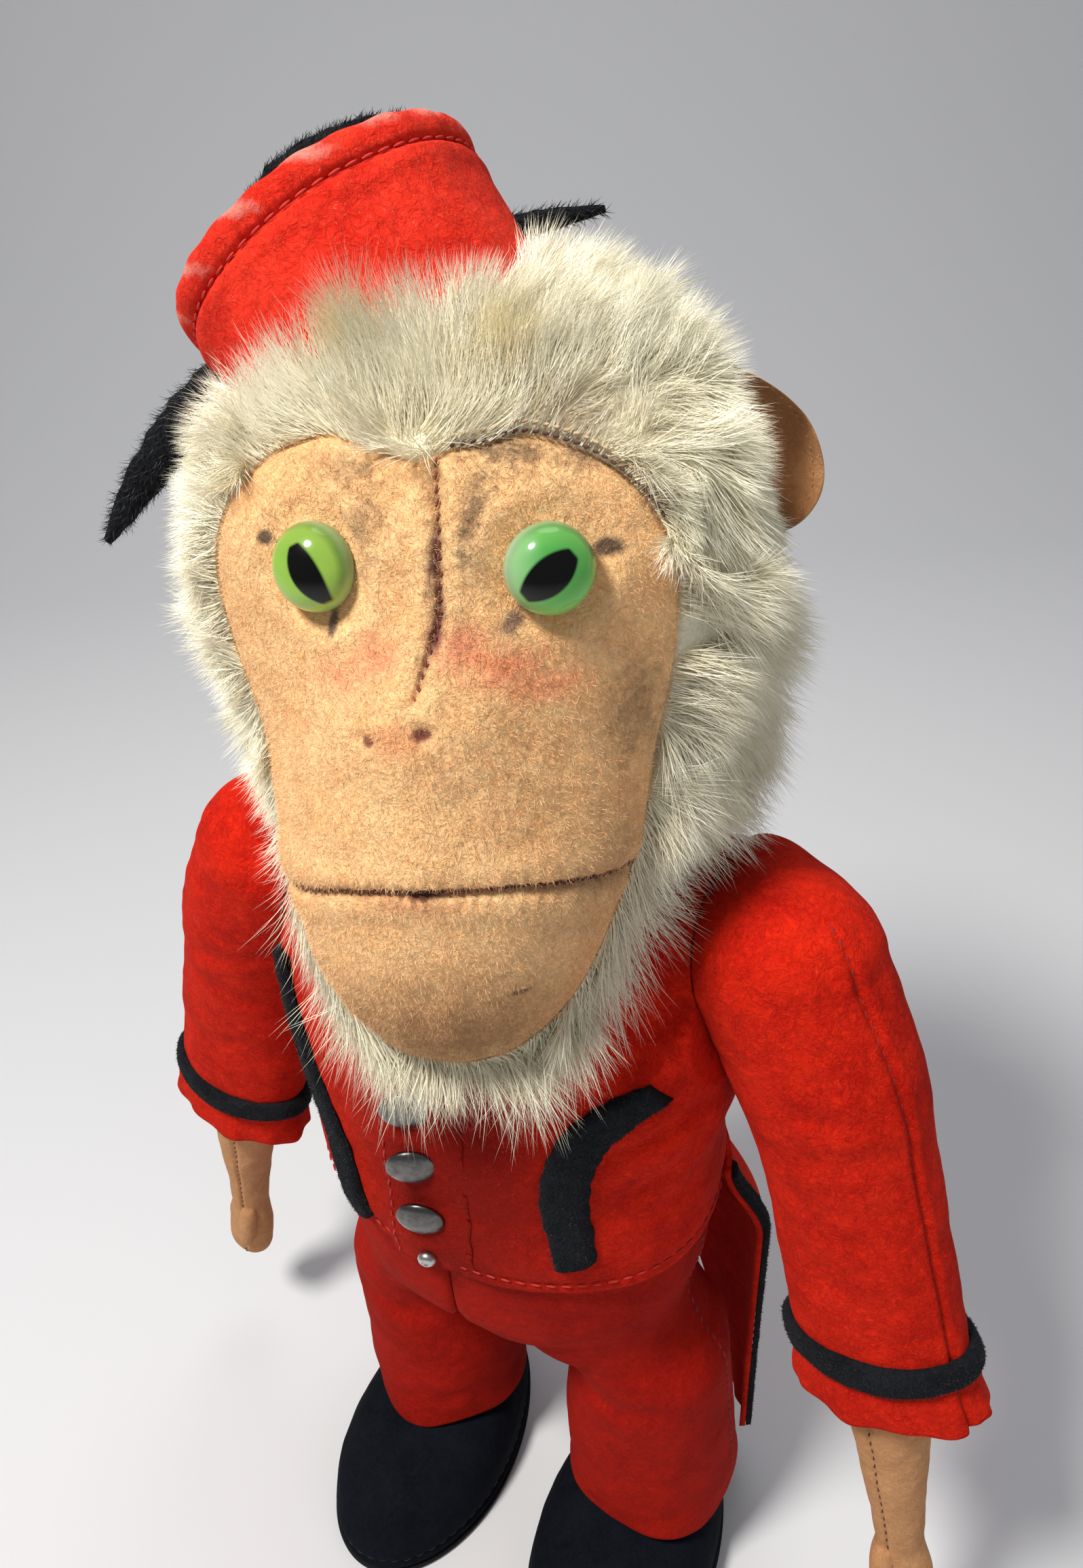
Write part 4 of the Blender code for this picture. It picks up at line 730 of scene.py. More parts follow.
def sleeveEdge(side):
    # the sleeve's outline where it meets the jacket: its radius for each angle round the joint
    rows, cap = armSettings["sleeveRows"], armSettings["sleeveCap"]
    halfX, halfY, midX, midY = curveThrough(rows, [-2])[0]
    outline = []
    for down in np.linspace(-2, 34, 40):
        wide, deep, mid, back = curveThrough(rows, [down])[0]
        if mid < wide:
            reach = deep * math.sqrt(1 - (mid / wide) ** 2)
            outline += [(back - reach, -down), (back + reach, -down)]
    for angle in np.linspace(0.6, 0.5 * math.pi, 30):
        share = math.sin(angle) * halfX
        if midX < share:
            reach = halfY * math.sin(angle) * math.sqrt(1 - (midX / share) ** 2)
            outline += [(midY - reach, 2 + cap * math.cos(angle)), (midY + reach, 2 + cap * math.cos(angle))]
    outline = np.array(outline)
    angles = np.arctan2(outline[:, 0], outline[:, 1])
    order = np.argsort(angles)
    return angles[order], np.hypot(outline[:, 0], outline[:, 1])[order]


def shoulderFill(out, y, z):
    # how far the cloth stands out behind the shoulder; out, y and z from the arm's joint
    angle, radius = np.arctan2(y, z), np.hypot(y, z)
    along = np.where(out > 0, np.exp(-(out / 12) ** 2), smoothStep(-24, -6, out))
    return 8.5 * np.exp(-((angle - 1.0) / 0.5) ** 2) * along * smoothStep(5, 11, radius)


def meetSleeves(ring):
    # draws the jacket's cloth to the sleeves' edges, so that one runs into the other
    kept = ring.copy()
    for side in (1, -1):
        centre, out, up = shoulderFrame(side)
        local = kept - centre
        inside = -(local @ out)
        swing = math.radians(armSettings["swing"][side])
        y, z = local[:, 1], local @ up
        angle = np.arctan2(y, z) - swing
        radius = np.hypot(y, z)
        angles, reach = sleeveEdge(side)
        wanted = np.interp(angle, angles, reach)
        weight = smoothStep(11, 0.5, inside) * (inside > -6) * smoothStep(2.1, 1.5, np.abs(angle)) * smoothStep(4, 9,
            radius)
        change = (wanted - radius) * weight + shoulderFill(-inside, y, z)
        change /= np.maximum(radius, 1e-6)
        kept += np.outer(change * y, (0, 1, 0)) + np.outer(change * z, up)
    return kept


jacketCreases = [
    ((44, -12, 160), (24, -26, 150), 2.2, 0.9), ((45, -10, 152), (30, -25, 138), 2.6, 0.7),
    ((-44, -12, 158), (-26, -26, 147), 2.4, 0.9), ((-45, -8, 148), (-32, -24, 132), 2.6, 0.6),
    ((-14, -29, 128), (12, -29.5, 124), 3.0, 0.5), ((36, -16, 128), (40, 4, 124), 3.0, 0.6),
    ((30, 20, 160), (-26, 22, 156), 3.4, 0.6), ((26, 24, 140), (-24, 25, 136), 3.6, 0.6),
]


def makeJacket():
    around = 300
    heights = np.concatenate([np.linspace(117.6, 186, 100), np.linspace(187, 196.6, 14)])
    rings = []
    for z in heights:
        offset = (jacketOffset(z) + bodySettings["felt"]) if z < 190 else 1.8 - 1.6 * (z - 190) / 6.6
        ring = bodyRing(z, offset, around)
        inward = unit(ring - np.array((0.5, -1.5, z)))
        sway = 0.35 * lumps(ring, 13.0) + 0.16 * lumps(ring, 4.5, 7.0)
        ring = ring + inward * (sway - creaseDepth(ring, jacketCreases))[:, None]
        # fuller at the sides over the ribs
        across = ring[:, 0]
        ring[:, 0] += np.sign(across) * 1.6 * math.exp(-((z - 149) / 8) ** 2) * smoothStep(30, 44, np.abs(across))
        # a bumpy hem, pulled in along its stitches
        ring -= inward * math.exp(-((z - 120.2) / 0.7) ** 2) * 0.35
        ring[:, 2] += 0.5 * np.sin(circleOf(around) * 5 + 0.6) * smoothStep(124, 117, z)
        rings.append(armpitClamp(meetSleeves(ring)))
    first = rings[0]
    way = unit((first - np.array((0, -1.5, 0))) * (1, 1, 0))
    under = [first - way * pull - np.array((0, 0, drop))
             for drop, pull in ((0.35, 0.15), (0.6, 0.5), (0.6, 1.0), (0.3, 1.4))]
    for z in (121.0, 126.0, 130.0):
        under.append(armpitClamp(bodyRing(z, jacketOffset(z) + 0.05, around)))
    shell = tubeMesh("jacketCloth", [inBody(r) for r in list(reversed(under)) + rings], finishes["jacket"])
    settle(shell, "torso", "jacket", "torso_stuffing")
    hemLine = [inBody(armpitClamp(bodyRing(120.2, jacketOffset(120.2) + 1.62, 240)))[i] for i in range(240)]
    stitchRow("jacketHemStitches", hemLine, "torso", finishes["jacketThread"], 0.0028, 0.0019, 0.00022, 0.12, True)


def stripGrid(path, widths, beyond, rows, columns, wave=0.0, side=1, fade=None):
    centre = curveThrough([(k, x, z) for k, (x, z) in enumerate(path)], np.linspace(0, len(path) - 1, rows))
    along = unit(np.gradient(centre, axis=0))
    across = np.stack([-along[:, 1], along[:, 0]], axis=1)
    grid = []
    for k, (point, way) in enumerate(zip(centre, across)):
        share = k / (rows - 1)
        half = 0.5 * float(np.interp(share, np.linspace(0, 1, len(widths)), widths))
        row = []
        for c in range(columns):
            t = -1 + 2 * c / (columns - 1)
            sway = wave * (math.sin(k * 0.55) + 0.6 * math.sin(k * 0.23 + 1.0)) * abs(t)
            place = point + way * (half * t + sway)
            rise = beyond * (1 if fade is None else float(fade(t)))
            row.append(onJacket(place[0], place[1], rise))
        grid.append(row)
    grid = np.array(grid)
    grid[:, :, 0] *= side
    return grid


def makeFront():
    # the lap: proud at its own edge, dying into the jacket on the other side
    path = [(-0.8, 183.5), (-0.8, 150.0), (-0.8, 118.0)]
    rise = lambda t: 1.0 if t < -0.3 else 1.0 - 0.93 * smoothStep(-0.3, 0.9, t)
    outer = stripGrid(path, [17.6, 17.6, 18.0], 1.45, 110, 26, 0.16, 1, rise)
    inner = stripGrid(path, [17.6, 17.6, 18.0], 0.1, 110, 26, 0.16)
    edgeRound = np.ones((110, 26))
    edgeRound[:, 0] = 0.35
    edgeRound[:, 1] = 0.85
    outer = inner + (outer - inner) * edgeRound[:, :, None]
    sway = 0.25 * lumps(outer, 6.0, 3.0).reshape(110, 26)
    outer[:, :, 1] -= sway * np.linspace(1.0, 0.2, 26)
    lap = sheetMesh("jacketFrontLap", inBody(outer), inBody(inner), finishes["jacket"])
    settle(lap, "torso", "jacket_lap")
    seam = [inBody(outer[k, 3] - np.array((0, 0.12, 0))) for k in range(4, 108)]
    stitchRow("lapStitches", seam, "torso", finishes["jacketThread"], 0.0026, 0.0018, 0.00024, 0.2)
    trims = {
        "Left": ([(37.8, 167.0), (31.5, 162.5), (26.5, 155.0), (24.5, 143.0), (26.0, 127.5)], 1, 11),
        "Right": ([(38.0, 168.5), (33.0, 159.0), (28.0, 148.0), (22.5, 135.0), (17.5, 121.0)], -1, 23),
    }
    for word, (path, side, seed) in trims.items():
        outer = stripGrid(path, [5.2, 7.2, 7.6, 7.4, 6.4], 1.7, 120, 14, 0.12, side)
        inner = stripGrid(path, [5.2, 7.2, 7.6, 7.4, 6.4], 0.12, 120, 14, 0.12, side)
        arch = (1 - np.linspace(-1, 1, 14) ** 6)[None, :, None] * 0.85 + 0.15
        outer = inner + (outer - inner) * arch
        outer[:, :, 1] -= 0.28 * lumps(outer, 3.2, seed).reshape(120, 14)
        trim = sheetMesh("jacketTrim" + word, inBody(outer), inBody(inner), finishes["black"])
        settle(trim, "torso", "trim_" + word.lower())
        fuzzOver("trimFuzz" + word, inBody(outer), (0.55, 1.6, 5.5e6, seed), "torso")
    makeButtons()


def fuzzOver(name, grid, values, body, finish="blackHair", width=0.00012):
    # short stray fibres over a strip; values: pile mm, spread, density, seed
    rows, columns = grid.shape[:2]
    flat = grid.reshape(-1, 3)
    faces = [(r * columns + c, r * columns + c + 1, (r + 1) * columns + c + 1, (r + 1) * columns + c)
             for r in range(rows - 1) for c in range(columns - 1)]
    away = unit(np.cross(np.gradient(grid, axis=1).reshape(-1, 3), np.gradient(grid, axis=0).reshape(-1, 3)), 1e-12)
    middle = flat.mean(axis=0)
    if np.mean(np.sum(away * (flat - middle), axis=1)) < 0:
        away = -away
    pile, spread, density, seed = values
    look = {"bend": 0.3, "density": density, "width": width, "spread": spread, "seed": seed, "short": True}
    hairOver(name, flat, faces, away, np.full(len(flat), pile * milli), np.ones(len(flat)), look, body,
             finishes[finish])


def turnedMesh(name, profile, sides, finish, place):
    # profile in millimetres (radius, height), from the axis round to the axis
    rings = []
    for radius, height in profile[1:-1]:
        turn = circleOf(sides)
        rings.append(ringOf(radius * np.cos(turn), radius * np.sin(turn), height))
    verts = np.concatenate(rings + [np.array([[0, 0, profile[0][1]], [0, 0, profile[-1][1]]])])
    faces = ringFaces(len(rings), sides) + capFaces(0, sides, len(verts) - 2)
    faces += capFaces((len(rings) - 1) * sides, sides, len(verts) - 1)
    matrix = np.array(place)
    verts = verts * milli @ matrix[:3, :3].T + matrix[:3, 3]
    return faceOutwards(makeMesh(name, verts, faces, finish))


def buttonPlace(height, beyond):
    # the buttons droop a little and turn to the left on their threads
    seat = onJacket(-2 + 0.035 * (160 - height), height + 0.9, beyond)
    turn = math.radians(28 if height > 140 else 18)
    out = Vector((math.sin(turn), -math.cos(turn), -0.10))
    return Matrix.Translation(Vector(inBody(seat))) @ out.to_track_quat("Z", "Y").to_matrix().to_4x4()


def makeButtons():
    dome = [(0, -0.1), (3.7, -0.1), (4.2, 0.15), (4.4, 0.55), (4.3, 0.85), (4.0, 1.15), (3.4, 1.5), (2.6, 1.8),
            (1.8, 2.0), (0.9, 2.12), (0, 2.16)]
    for name, height in (("top", 158.0), ("middle", 145.4), ("lower", 132.0)):
        made = turnedMesh("button" + name.title(), dome, 48, finishes["button"], buttonPlace(height, 1.5))
        settle(made, "torso", "button_" + name)
    stud = [(0, -0.1), (1.6, -0.1), (1.75, 0.3), (1.7, 0.75), (1.35, 1.25), (0.95, 1.5), (0.75, 1.42), (0.55, 1.2),
            (0.3, 1.12), (0, 1.1)]
    made = turnedMesh("studButton", stud, 32, finishes["steel"], buttonPlace(121.0, 1.6))
    settle(made, "torso", "button_stud")


makeJacket()
makeFront()
print("jacket made")


# Sleeves and arms, in each arm's frame: x out, y back, z up the arm

sleeveCreases = {
    1: [((2, -8, -12), (22, -12, -20), 2.0, 0.9), ((4, -9, -28), (26, -10, -26), 2.4, 0.6),
        ((30, -2, -48), (12, -10, -55), 2.4, 0.5)],
    -1: [((2, -8, -14), (20, -12, -24), 2.0, 0.9), ((6, -10, -34), (27, -8, -30), 2.4, 0.6),
         ((28, -6, -56), (10, -9, -50), 2.2, 0.5)],
}


def limbRing(rows, at, place, scale, around, grow=0.0):
    values = curveThrough(rows, [at])[0]
    midY = values[3] if len(values) > 3 else 0.0
    turn = circleOf(around)
    x = values[2] + (values[0] + grow) * scale * np.cos(turn)
    return ringOf(x, midY + (values[1] + grow) * scale * np.sin(turn), -float(place))


def makeArm(side):
    word, body = sideWords[side].title(), "arm_" + sideWords[side]
    around = 160
    seed = 3.0 if side > 0 else 9.0
    cap, sleeveRows = armSettings["sleeveCap"], armSettings["sleeveRows"]
    rings = [limbRing(sleeveRows, -2, -2 - cap * math.cos(angle), math.sin(angle), around)
             for angle in np.linspace(0.03, 0.5 * math.pi, 26)[:-1]]
    rings += [limbRing(sleeveRows, place, place, 1.0, around) for place in np.linspace(-2, 86.6, 110)]
    turn = circleOf(around)
    shaped = []
    for ring in rings:
        out = levelOut(ring, 1e-9)
        down = -ring[0, 2]
        sway = 0.4 * lumps(ring * (side, 1, 1), 12.0, seed) + 0.16 * lumps(ring, 4.0, seed + 4)
        apart = apartFrom(turn, armSettings["sleeveSeam"])
        sway -= 0.75 * np.exp(-(apart / 0.045) ** 2) * smoothStep(-15, -4, down)
        sway += 0.22 * np.exp(-((np.abs(apart) - 0.12) / 0.06) ** 2) * smoothStep(-15, -4, down)
        # the band squeezes the cuff, and the cloth flares below it
        sway -= 0.55 * math.exp(-((down - 74.5) / 4.2) ** 2)
        sway += (0.8 + 0.35 * np.sin(turn * 11 + seed)) * smoothStep(78, 87, down)
        ring = ring + out * (sway - creaseDepth(ring, sleeveCreases[side]))[:, None]
        ring[:, 2] += 0.75 * np.sin(turn * 6 + seed) * smoothStep(82, 87, down)
        ring[:, 0] = np.maximum(ring[:, 0], 0.05)
        fill = shoulderFill(ring[:, 0], ring[:, 1], ring[:, 2]) / np.maximum(np.hypot(ring[:, 1], ring[:, 2]), 1e-6)
        ring[:, 1:] *= (1 + fill)[:, None]
        shaped.append(ring)
    last = shaped[-1]
    way = levelOut(last)
    lining = [last - way * 0.35 - (0, 0, 0.35), last - way * 0.9 - (0, 0, 0.45), last - way * 1.4 - (0, 0, 0.2)]
    for place in (84.0, 80.0, 76.0):
        lining.append(limbRing(armSettings["sleeveRows"], place, place, 1.0, around, -1.5 - 0.5 * (84 - place) / 8))
    sleeve = tubeMesh("sleeve" + word, [inArm(r, side) for r in shaped + lining], finishes["jacket"])
    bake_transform(sleeve)
    standIn(sleeve, "sleeve_" + word.lower())
    column = round(armSettings["sleeveSeam"] / 2 * around)
    seam = [inArm(r[column], side) for r in shaped[14:-6]]
    stitchRow("sleeveStitches" + word, seam, body, finishes["redThread"], 0.0024, 0.0017, 0.00018, 0.2)

    # felt band round the cuff
    rows, columns = 18, 160
    outer, inner = [], []
    for k in range(rows):
        share = k / (rows - 1)
        place = 71.6 + 5.8 * share
        bulge = 1.25 * (1 - abs(2 * share - 1) ** 5)
        outer.append(limbRing(armSettings["sleeveRows"], place, place, 1.0, columns, 0.25 + bulge))
        inner.append(limbRing(armSettings["sleeveRows"], place, place, 1.0, columns, -0.5))
    band = np.array(outer)
    band[:, :, 2] += 0.5 * np.sin(turn * 3 + seed)
    band += (0.22 * lumps(band, 3.0, seed).reshape(rows, columns, 1)) * ((band - band.mean(axis=(0, 1))) / 14.0)
    ringsOut = [inArm(r, side) for r in band]
    ringsIn = [inArm(r, side) for r in reversed(inner)]
    verts, faces = np.concatenate(ringsOut + ringsIn), ringFaces(2 * rows, columns, True)
    made = faceOutwards(makeMesh("cuffBand" + word, verts, faces, finishes["black"]))
    settle(made, body, "cuff_band_" + word.lower())
    wrapped = np.concatenate([np.array(ringsOut), np.array(ringsOut)[:, :1]], axis=1)
    fuzzOver("bandFuzz" + word, wrapped, (0.5, 1.6, 5.5e6, 31 + side), body)

    # forearm, a flat mitten hand and a thumb, with a seam down the front
    around = 96
    rings = []
    for place in np.linspace(60, 146, 90):
        rings.append(limbRing(armSettings["armRows"], place, place, 1.0, around))
    for angle in np.linspace(0.5 * math.pi, 0.06, 16)[1:]:
        rings.append(limbRing(armSettings["armRows"], 146, 146 + armSettings["handCap"] * math.cos(angle),
                              math.sin(angle), around))
    turn = circleOf(around)
    shaped = []
    for ring in rings:
        out = levelOut(ring, 1e-9)
        down = -ring[0, 2]
        sway = 0.3 * lumps(ring, 7.0, seed + 2) + 0.12 * lumps(ring, 3.0, seed)
        apart = apartFrom(turn, armSettings["handSeam"])
        sway -= 0.6 * np.exp(-(apart / 0.07) ** 2) * smoothStep(152, 144, down)
        shaped.append(ring + out * sway[:, None])
    # the thumb swells out of the hand's front
    thumb = []
    for share in np.linspace(0.0, 1.0, 24):
        centre = np.array((13.4, -3.6, -128.0)) * (1 - share) + np.array((12.2, -5.6, -142.5)) * share
        radius = 2.35 * math.sqrt(max(0.02, 1 - (2 * share - 1) ** 4))
        turns = circleOf(28)
        thumb.append(centre + radius * ringOf(np.cos(turns), np.sin(turns), 0))
    arm = tubeMesh("arm" + word, [inArm(r, side) for r in shaped], finishes["tan"])
    thumbMesh = tubeMesh("thumb" + word, [inArm(r, side) for r in thumb], finishes["tan"])
    fuse(arm, thumbMesh)
    settle(arm, body, body)
    column = round(armSettings["handSeam"] / 2 * around)
    seam = [inArm(r[column], side) for r in shaped[30:-9]]
    stitchRow("handStitches" + word, seam, body, finishes["darkThread"], 0.0022, 0.0014, 0.00022, 0.5)


def fuse(target, extra):
    # joins two closed meshes into one
    step = target.modifiers.new("fuse", "BOOLEAN")
    step.operation = "UNION"
    step.solver = "EXACT"
    step.object = extra
    joined = bakedMesh(target)
    target.modifiers.clear()
    target.data = joined
    bpy.data.objects.remove(extra, do_unlink=True)
    joined.shade_smooth()


for side in (1, -1):
    makeArm(side)
print("arms made")


# Trousers: a left and a right half that meet at the middle, then one leg each

trouserSettings = {
    "rows": ((0, 16.8, 16.6, 11.8), (12, 17, 17.2, 12.2), (18.5, 16.4, 17.6, 13.6), (27, 17.4, 18, 12.8),
             (45, 19.2, 18.5, 11.4), (66, 18.8, 19, 11.4)),
    "hip": (15.0, -2.0, 88.0),
    "lean": {1: 3.5, -1: 0.0},
}
trouserCreases = [
    ((4, -22, 74), (36, -24, 84), 2.4, 1.3), ((2, -24, 82), (30, -27, 96), 2.8, 0.8),
    ((12, -20, 66), (40, -18, 70), 2.6, 0.8), ((40, -8, 92), (32, 20, 86), 3.0, 0.7),
    ((12, -18, 36), (40, -14, 31), 2.6, 0.6), ((14, 14, 74), (36, 18, 80), 3.0, 0.8),
]


def makeTrouserHalf(side):
    word, leg = sideWords[side].title(), "leg_" + sideWords[side]
    seed = 5.0 if side > 0 else 14.0
    turn = circleOf(200)
    hipX, hipY, hipZ = trouserSettings["hip"]
    rings = []
    for z in np.concatenate([np.linspace(124, 96, 34), np.linspace(95, 22.6, 112)]):
        halfX, halfY, midX, midY = curveThrough(bodySettings["rows"], [max(z, 80.0)])[0]
        p = 2 / bodySettings["power"]
        x = np.where(np.cos(turn) >= 0, (halfX + 1.7) * np.abs(np.cos(turn)) ** p, 0.16)
        y = midY + (halfY + 1.7) * np.sign(np.sin(turn)) * np.abs(np.sin(turn)) ** p
        waist = ringOf(x, y, z)
        legHalfX, legHalfY, legMidX = curveThrough(trouserSettings["rows"], [hipZ - z])[0]
        lean = trouserSettings["lean"][side] * (hipZ - z) / 66
        legX = hipX + legMidX + lean + legHalfX * np.cos(turn)
        share = smoothStep(99, 72, z)
        ring = waist * (1 - share) + ringOf(np.maximum(legX, 0.16), hipY + legHalfY * np.sin(turn), z) * share
        out = levelOut(ring, 1e-9)
        sway = 0.5 * lumps(ring, 13.0, seed) + 0.18 * lumps(ring, 4.5, seed)
        mirrored = ring if side > 0 else ring + (0, 0, 1.5)
        free = smoothStep(0.2, 3.0, ring[:, 0])
        sway -= creaseDepth(mirrored, trouserCreases)
        sway += (0.5 + 0.8 * np.sin(turn * 4 + seed)) * smoothStep(32, 22.6, z)
        sway *= smoothStep(124, 116, z)
        ring = ring + out * (sway * free)[:, None]
        middleFront = np.exp(-((ring[:, 0] - 0.16) / 1.3) ** 2) * (np.sin(turn) != 0)
        ring[:, 1] -= np.sign(np.sin(turn)) * 0.8 * middleFront * (1 - share)
        ring[:, 2] += (1.2 * np.sin(turn * 2 + seed) + 0.6 * np.sin(turn * 5)) * smoothStep(27, 22.6, z)
        rings.append(ring)
    last = rings[-1]
    way = levelOut(last)
    for pull, drop in ((0.35, 0.4), (0.9, 0.5), (1.4, 0.2), (1.8, -1.2), (2.2, -4.0), (2.8, -9.0)):
        rings.append(last - way * pull - (0, 0, drop))
    for ring in rings:
        ring[:, 0] *= side
    half = tubeMesh("trousers" + word, [inBody(r) for r in rings], finishes["trousers"])
    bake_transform(half)
    standIn(half, "trouser_" + leg, leg, "trousers_seat")
    outside = [inBody(r[2]) for r in rings[8:-16]]
    seam = stitchRow("trouserStitches" + word, outside, None, finishes["redThread"], 0.0026, 0.0018, 0.00028, 0.15)
    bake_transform(seam)


for side in (1, -1):
    makeTrouserHalf(side)
print("trousers made")


# Shoes: a stuffed felt upper with a raised seam where it meets its board sole

shoeRows = ((1.8, 19.8, -46.8, 20.4), (5, 20.5, -47.5, 21), (10, 20.2, -45, 21), (15, 18.6, -37.5, 20.2),
            (19, 16.6, -27, 18.4), (22, 15.2, -18.2, 15.2), (27, 14.6, -16, 13.4))


def shoeOutline(z, half, toe, heel, around, lean):
    turn = circleOf(around)
    middle = toe + 0.45 * (heel - toe)
    back = np.sin(turn) > 0
    deep = np.where(back, heel - middle, middle - toe) * np.sin(turn)
    narrow = np.where(back, 1 - 0.14 * np.sin(turn) ** 2, 1.0)
    return ringOf(25.5 + lean + half * np.cos(turn) * narrow, middle + deep, z)


def makeShoe(side):
    word, leg = sideWords[side].title(), "leg_" + sideWords[side]
    around = 160
    lean = trouserSettings["lean"][side]
    rings = []
    for z in np.linspace(1.7, 27, 60):
        half, toe, heel = curveThrough(shoeRows, [z])[0]
        ring = shoeOutline(z, half, toe, heel, around, lean)
        out = levelOut(ring)
        sway = 0.3 * lumps(ring * (side, 1, 1), 9.0, 21.0) + 0.1 * lumps(ring, 3.0, 2.0)
        # the turned seam stands out just above the sole
        sway += 0.75 * math.exp(-((z - 3.0) / 0.75) ** 2) - 0.5 * math.exp(-((z - 4.7) / 0.7) ** 2)
        rings.append(ring + out * np.reshape(sway, (-1, 1)))
    for ring in rings:
        ring[:, 0] *= side
    upper = tubeMesh("shoeUpper" + word, [inBody(r) for r in rings], finishes["shoe"])
    settle(upper, leg, "shoe_upper_" + word.lower())
    seam = [inBody(p + (0, 0, 0.1)) for p in rings[7]]
    stitchRow("shoeStitches" + word, seam, leg, finishes["blackHair"], 0.003, 0.002, 0.0003, 0.1, True)
    sole = []
    for z, edge in ((0.0, -0.3), (0.15, 0.15), (0.45, 0.45), (1.1, 0.5), (1.4, 0.3), (1.5, 0.0)):
        ring = shoeOutline(z, 20.5 + edge, -47.5 - edge, 21 + edge, around, lean)
        ring[:, 0] *= side
        sole.append(inBody(ring))
    board = tubeMesh("shoeSole" + word, sole, finishes["sole"])
    settle(board, leg, "shoe_sole_" + word.lower())


finishes["sole"] = makeFelt("soleBoard", {
    "light": (0.020, 0.019, 0.020), "dark": (0.010, 0.010, 0.011), "lint": (0.09, 0.08, 0.07), "bump": 0.3,
    "sheen": 0.05,
    "spots": [(inBody((x, -30, 0)), (16, 12, 3), (0.05, 0.045, 0.04), 0.7, 0.9, 0.9) for x in (25, -25)]})
for side in (1, -1):
    makeShoe(side)
print("shoes made")


# Coat tails: felt sheets from the jacket's back hem, lined at the edge in black

tailSettings = {"top": 122.0, "bottom": 18.0, "felt": 1.3}


def tailPoint(height, share, beyond):
    top = curveThrough(bodySettings["rows"], [max(height, 112.0)])[0]
    out = jacketOffset(tailSettings["top"]) + bodySettings["felt"] + 0.3
    drop = float(np.clip((tailSettings["top"] - height) / 26.0, 0, 1))
    ease = drop * drop * (3 - 2 * drop)
    halfX = top[0] + out + (47.5 - top[0] - out) * ease + beyond
    halfY = top[1] + out + (33.5 - top[1] - out) * ease + beyond
    power = bodySettings["power"] + 0.95 * ease
    fall = float(np.clip((tailSettings["top"] - height) / (tailSettings["top"] - tailSettings["bottom"]), 0, 1))
    innerEdge = math.radians(86 - 44 * fall ** 1.6)
    outerEdge = math.radians(14 + 5 * fall)
    turn = innerEdge + (outerEdge - innerEdge) * share
    return np.array((halfX * math.cos(turn) ** (2 / power), -1.5 + halfY * math.sin(turn) ** (2 / power), height))


def makeTail(side):
    word = sideWords[side].title()
    rows, columns = 90, 60
    heights = np.linspace(tailSettings["top"], tailSettings["bottom"], rows)
    shares = np.linspace(0, 1, columns)
    felt = tailSettings["felt"]
    wave = lambda z, s: 0.45 * math.sin(3.2 * math.pi * s + side) * float(smoothStep(112, 40, z))
    sheet = lambda rise: np.array([[tailPoint(z, s, rise(z, s)) for s in shares] for z in heights])
    outer, inner = sheet(lambda z, s: felt + wave(z, s)), sheet(wave)
    for grid in (outer, inner):
        grid[:, :, 0] *= side
    tail = sheetMesh("coatTail" + word, inBody(outer), inBody(inner), finishes["jacket"])
    settle(tail, "torso", "coat_tail_" + word.lower())
    columns = 14
    heights = np.linspace(119.0, tailSettings["bottom"] + 0.4, rows)
    shares = np.linspace(0.90, 1.0, columns)
    arch = lambda s: 0.25 + 1.0 * (1 - (2 * (s - 0.9) / 0.1 - 1) ** 6)
    outer, inner = sheet(lambda z, s: felt + wave(z, s) + arch(s)), sheet(lambda z, s: felt + wave(z, s) + 0.1)
    outer += 0.2 * lumps(outer, 3.0, 4.0).reshape(rows, columns, 1) * (0.6 * side, 0.8, 0)
    for grid in (outer, inner):
        grid[:, :, 0] *= side
    edging = sheetMesh("tailEdging" + word, inBody(outer), inBody(inner), finishes["black"])
    settle(edging, "torso", "tail_edging_" + word.lower())
    fuzzOver("tailFuzz" + word, inBody(outer), (0.5, 1.6, 4.0e6, 41 + side), "torso")
    seam = [inBody(tailPoint(z, 0.885, felt + wave(z, 0.885) + 0.1) * (side, 1, 1)) for z in np.linspace(118, 27, 120)]
    stitchRow("tailStitches" + word, seam, "torso", finishes["redThread"], 0.0028, 0.0018, 0.00026, 0.15)


for side in (1, -1):
    makeTail(side)
print("coat tails made")


# Head: its form is found along rays from its centre, as blended ellipsoids

def headReach(ways):
    start = np.array(headSettings["centre"])
    near, far = np.full(len(ways), 5.0), np.full(len(ways), 70.0)
    for _ in range(26):
        mid = 0.5 * (near + far)
        points = start + ways * mid[:, None]
        total = np.zeros(len(ways))
        for centre, radii in headSettings["blobs"]:
            gap = (np.linalg.norm((points - np.array(centre)) / np.array(radii), axis=1) - 1) * min(radii)
            total += np.exp(-headSettings["sharpness"] * np.clip(gap, -60, 60))
        inside = total > 1.0
        near, far = np.where(inside, mid, near), np.where(inside, far, mid)
    return 0.5 * (near + far)


def headPoints(ways, inset=0.0):
    flat = ways.reshape(-1, 3)
    points = np.array(headSettings["centre"]) + flat * (headReach(flat) - inset)[:, None]
    return points.reshape(ways.shape)


def wayOf(turn, lift):
    a, b = math.radians(turn), math.radians(lift)
    return np.array([math.sin(a) * math.cos(b), -math.cos(a) * math.cos(b), math.sin(b)])


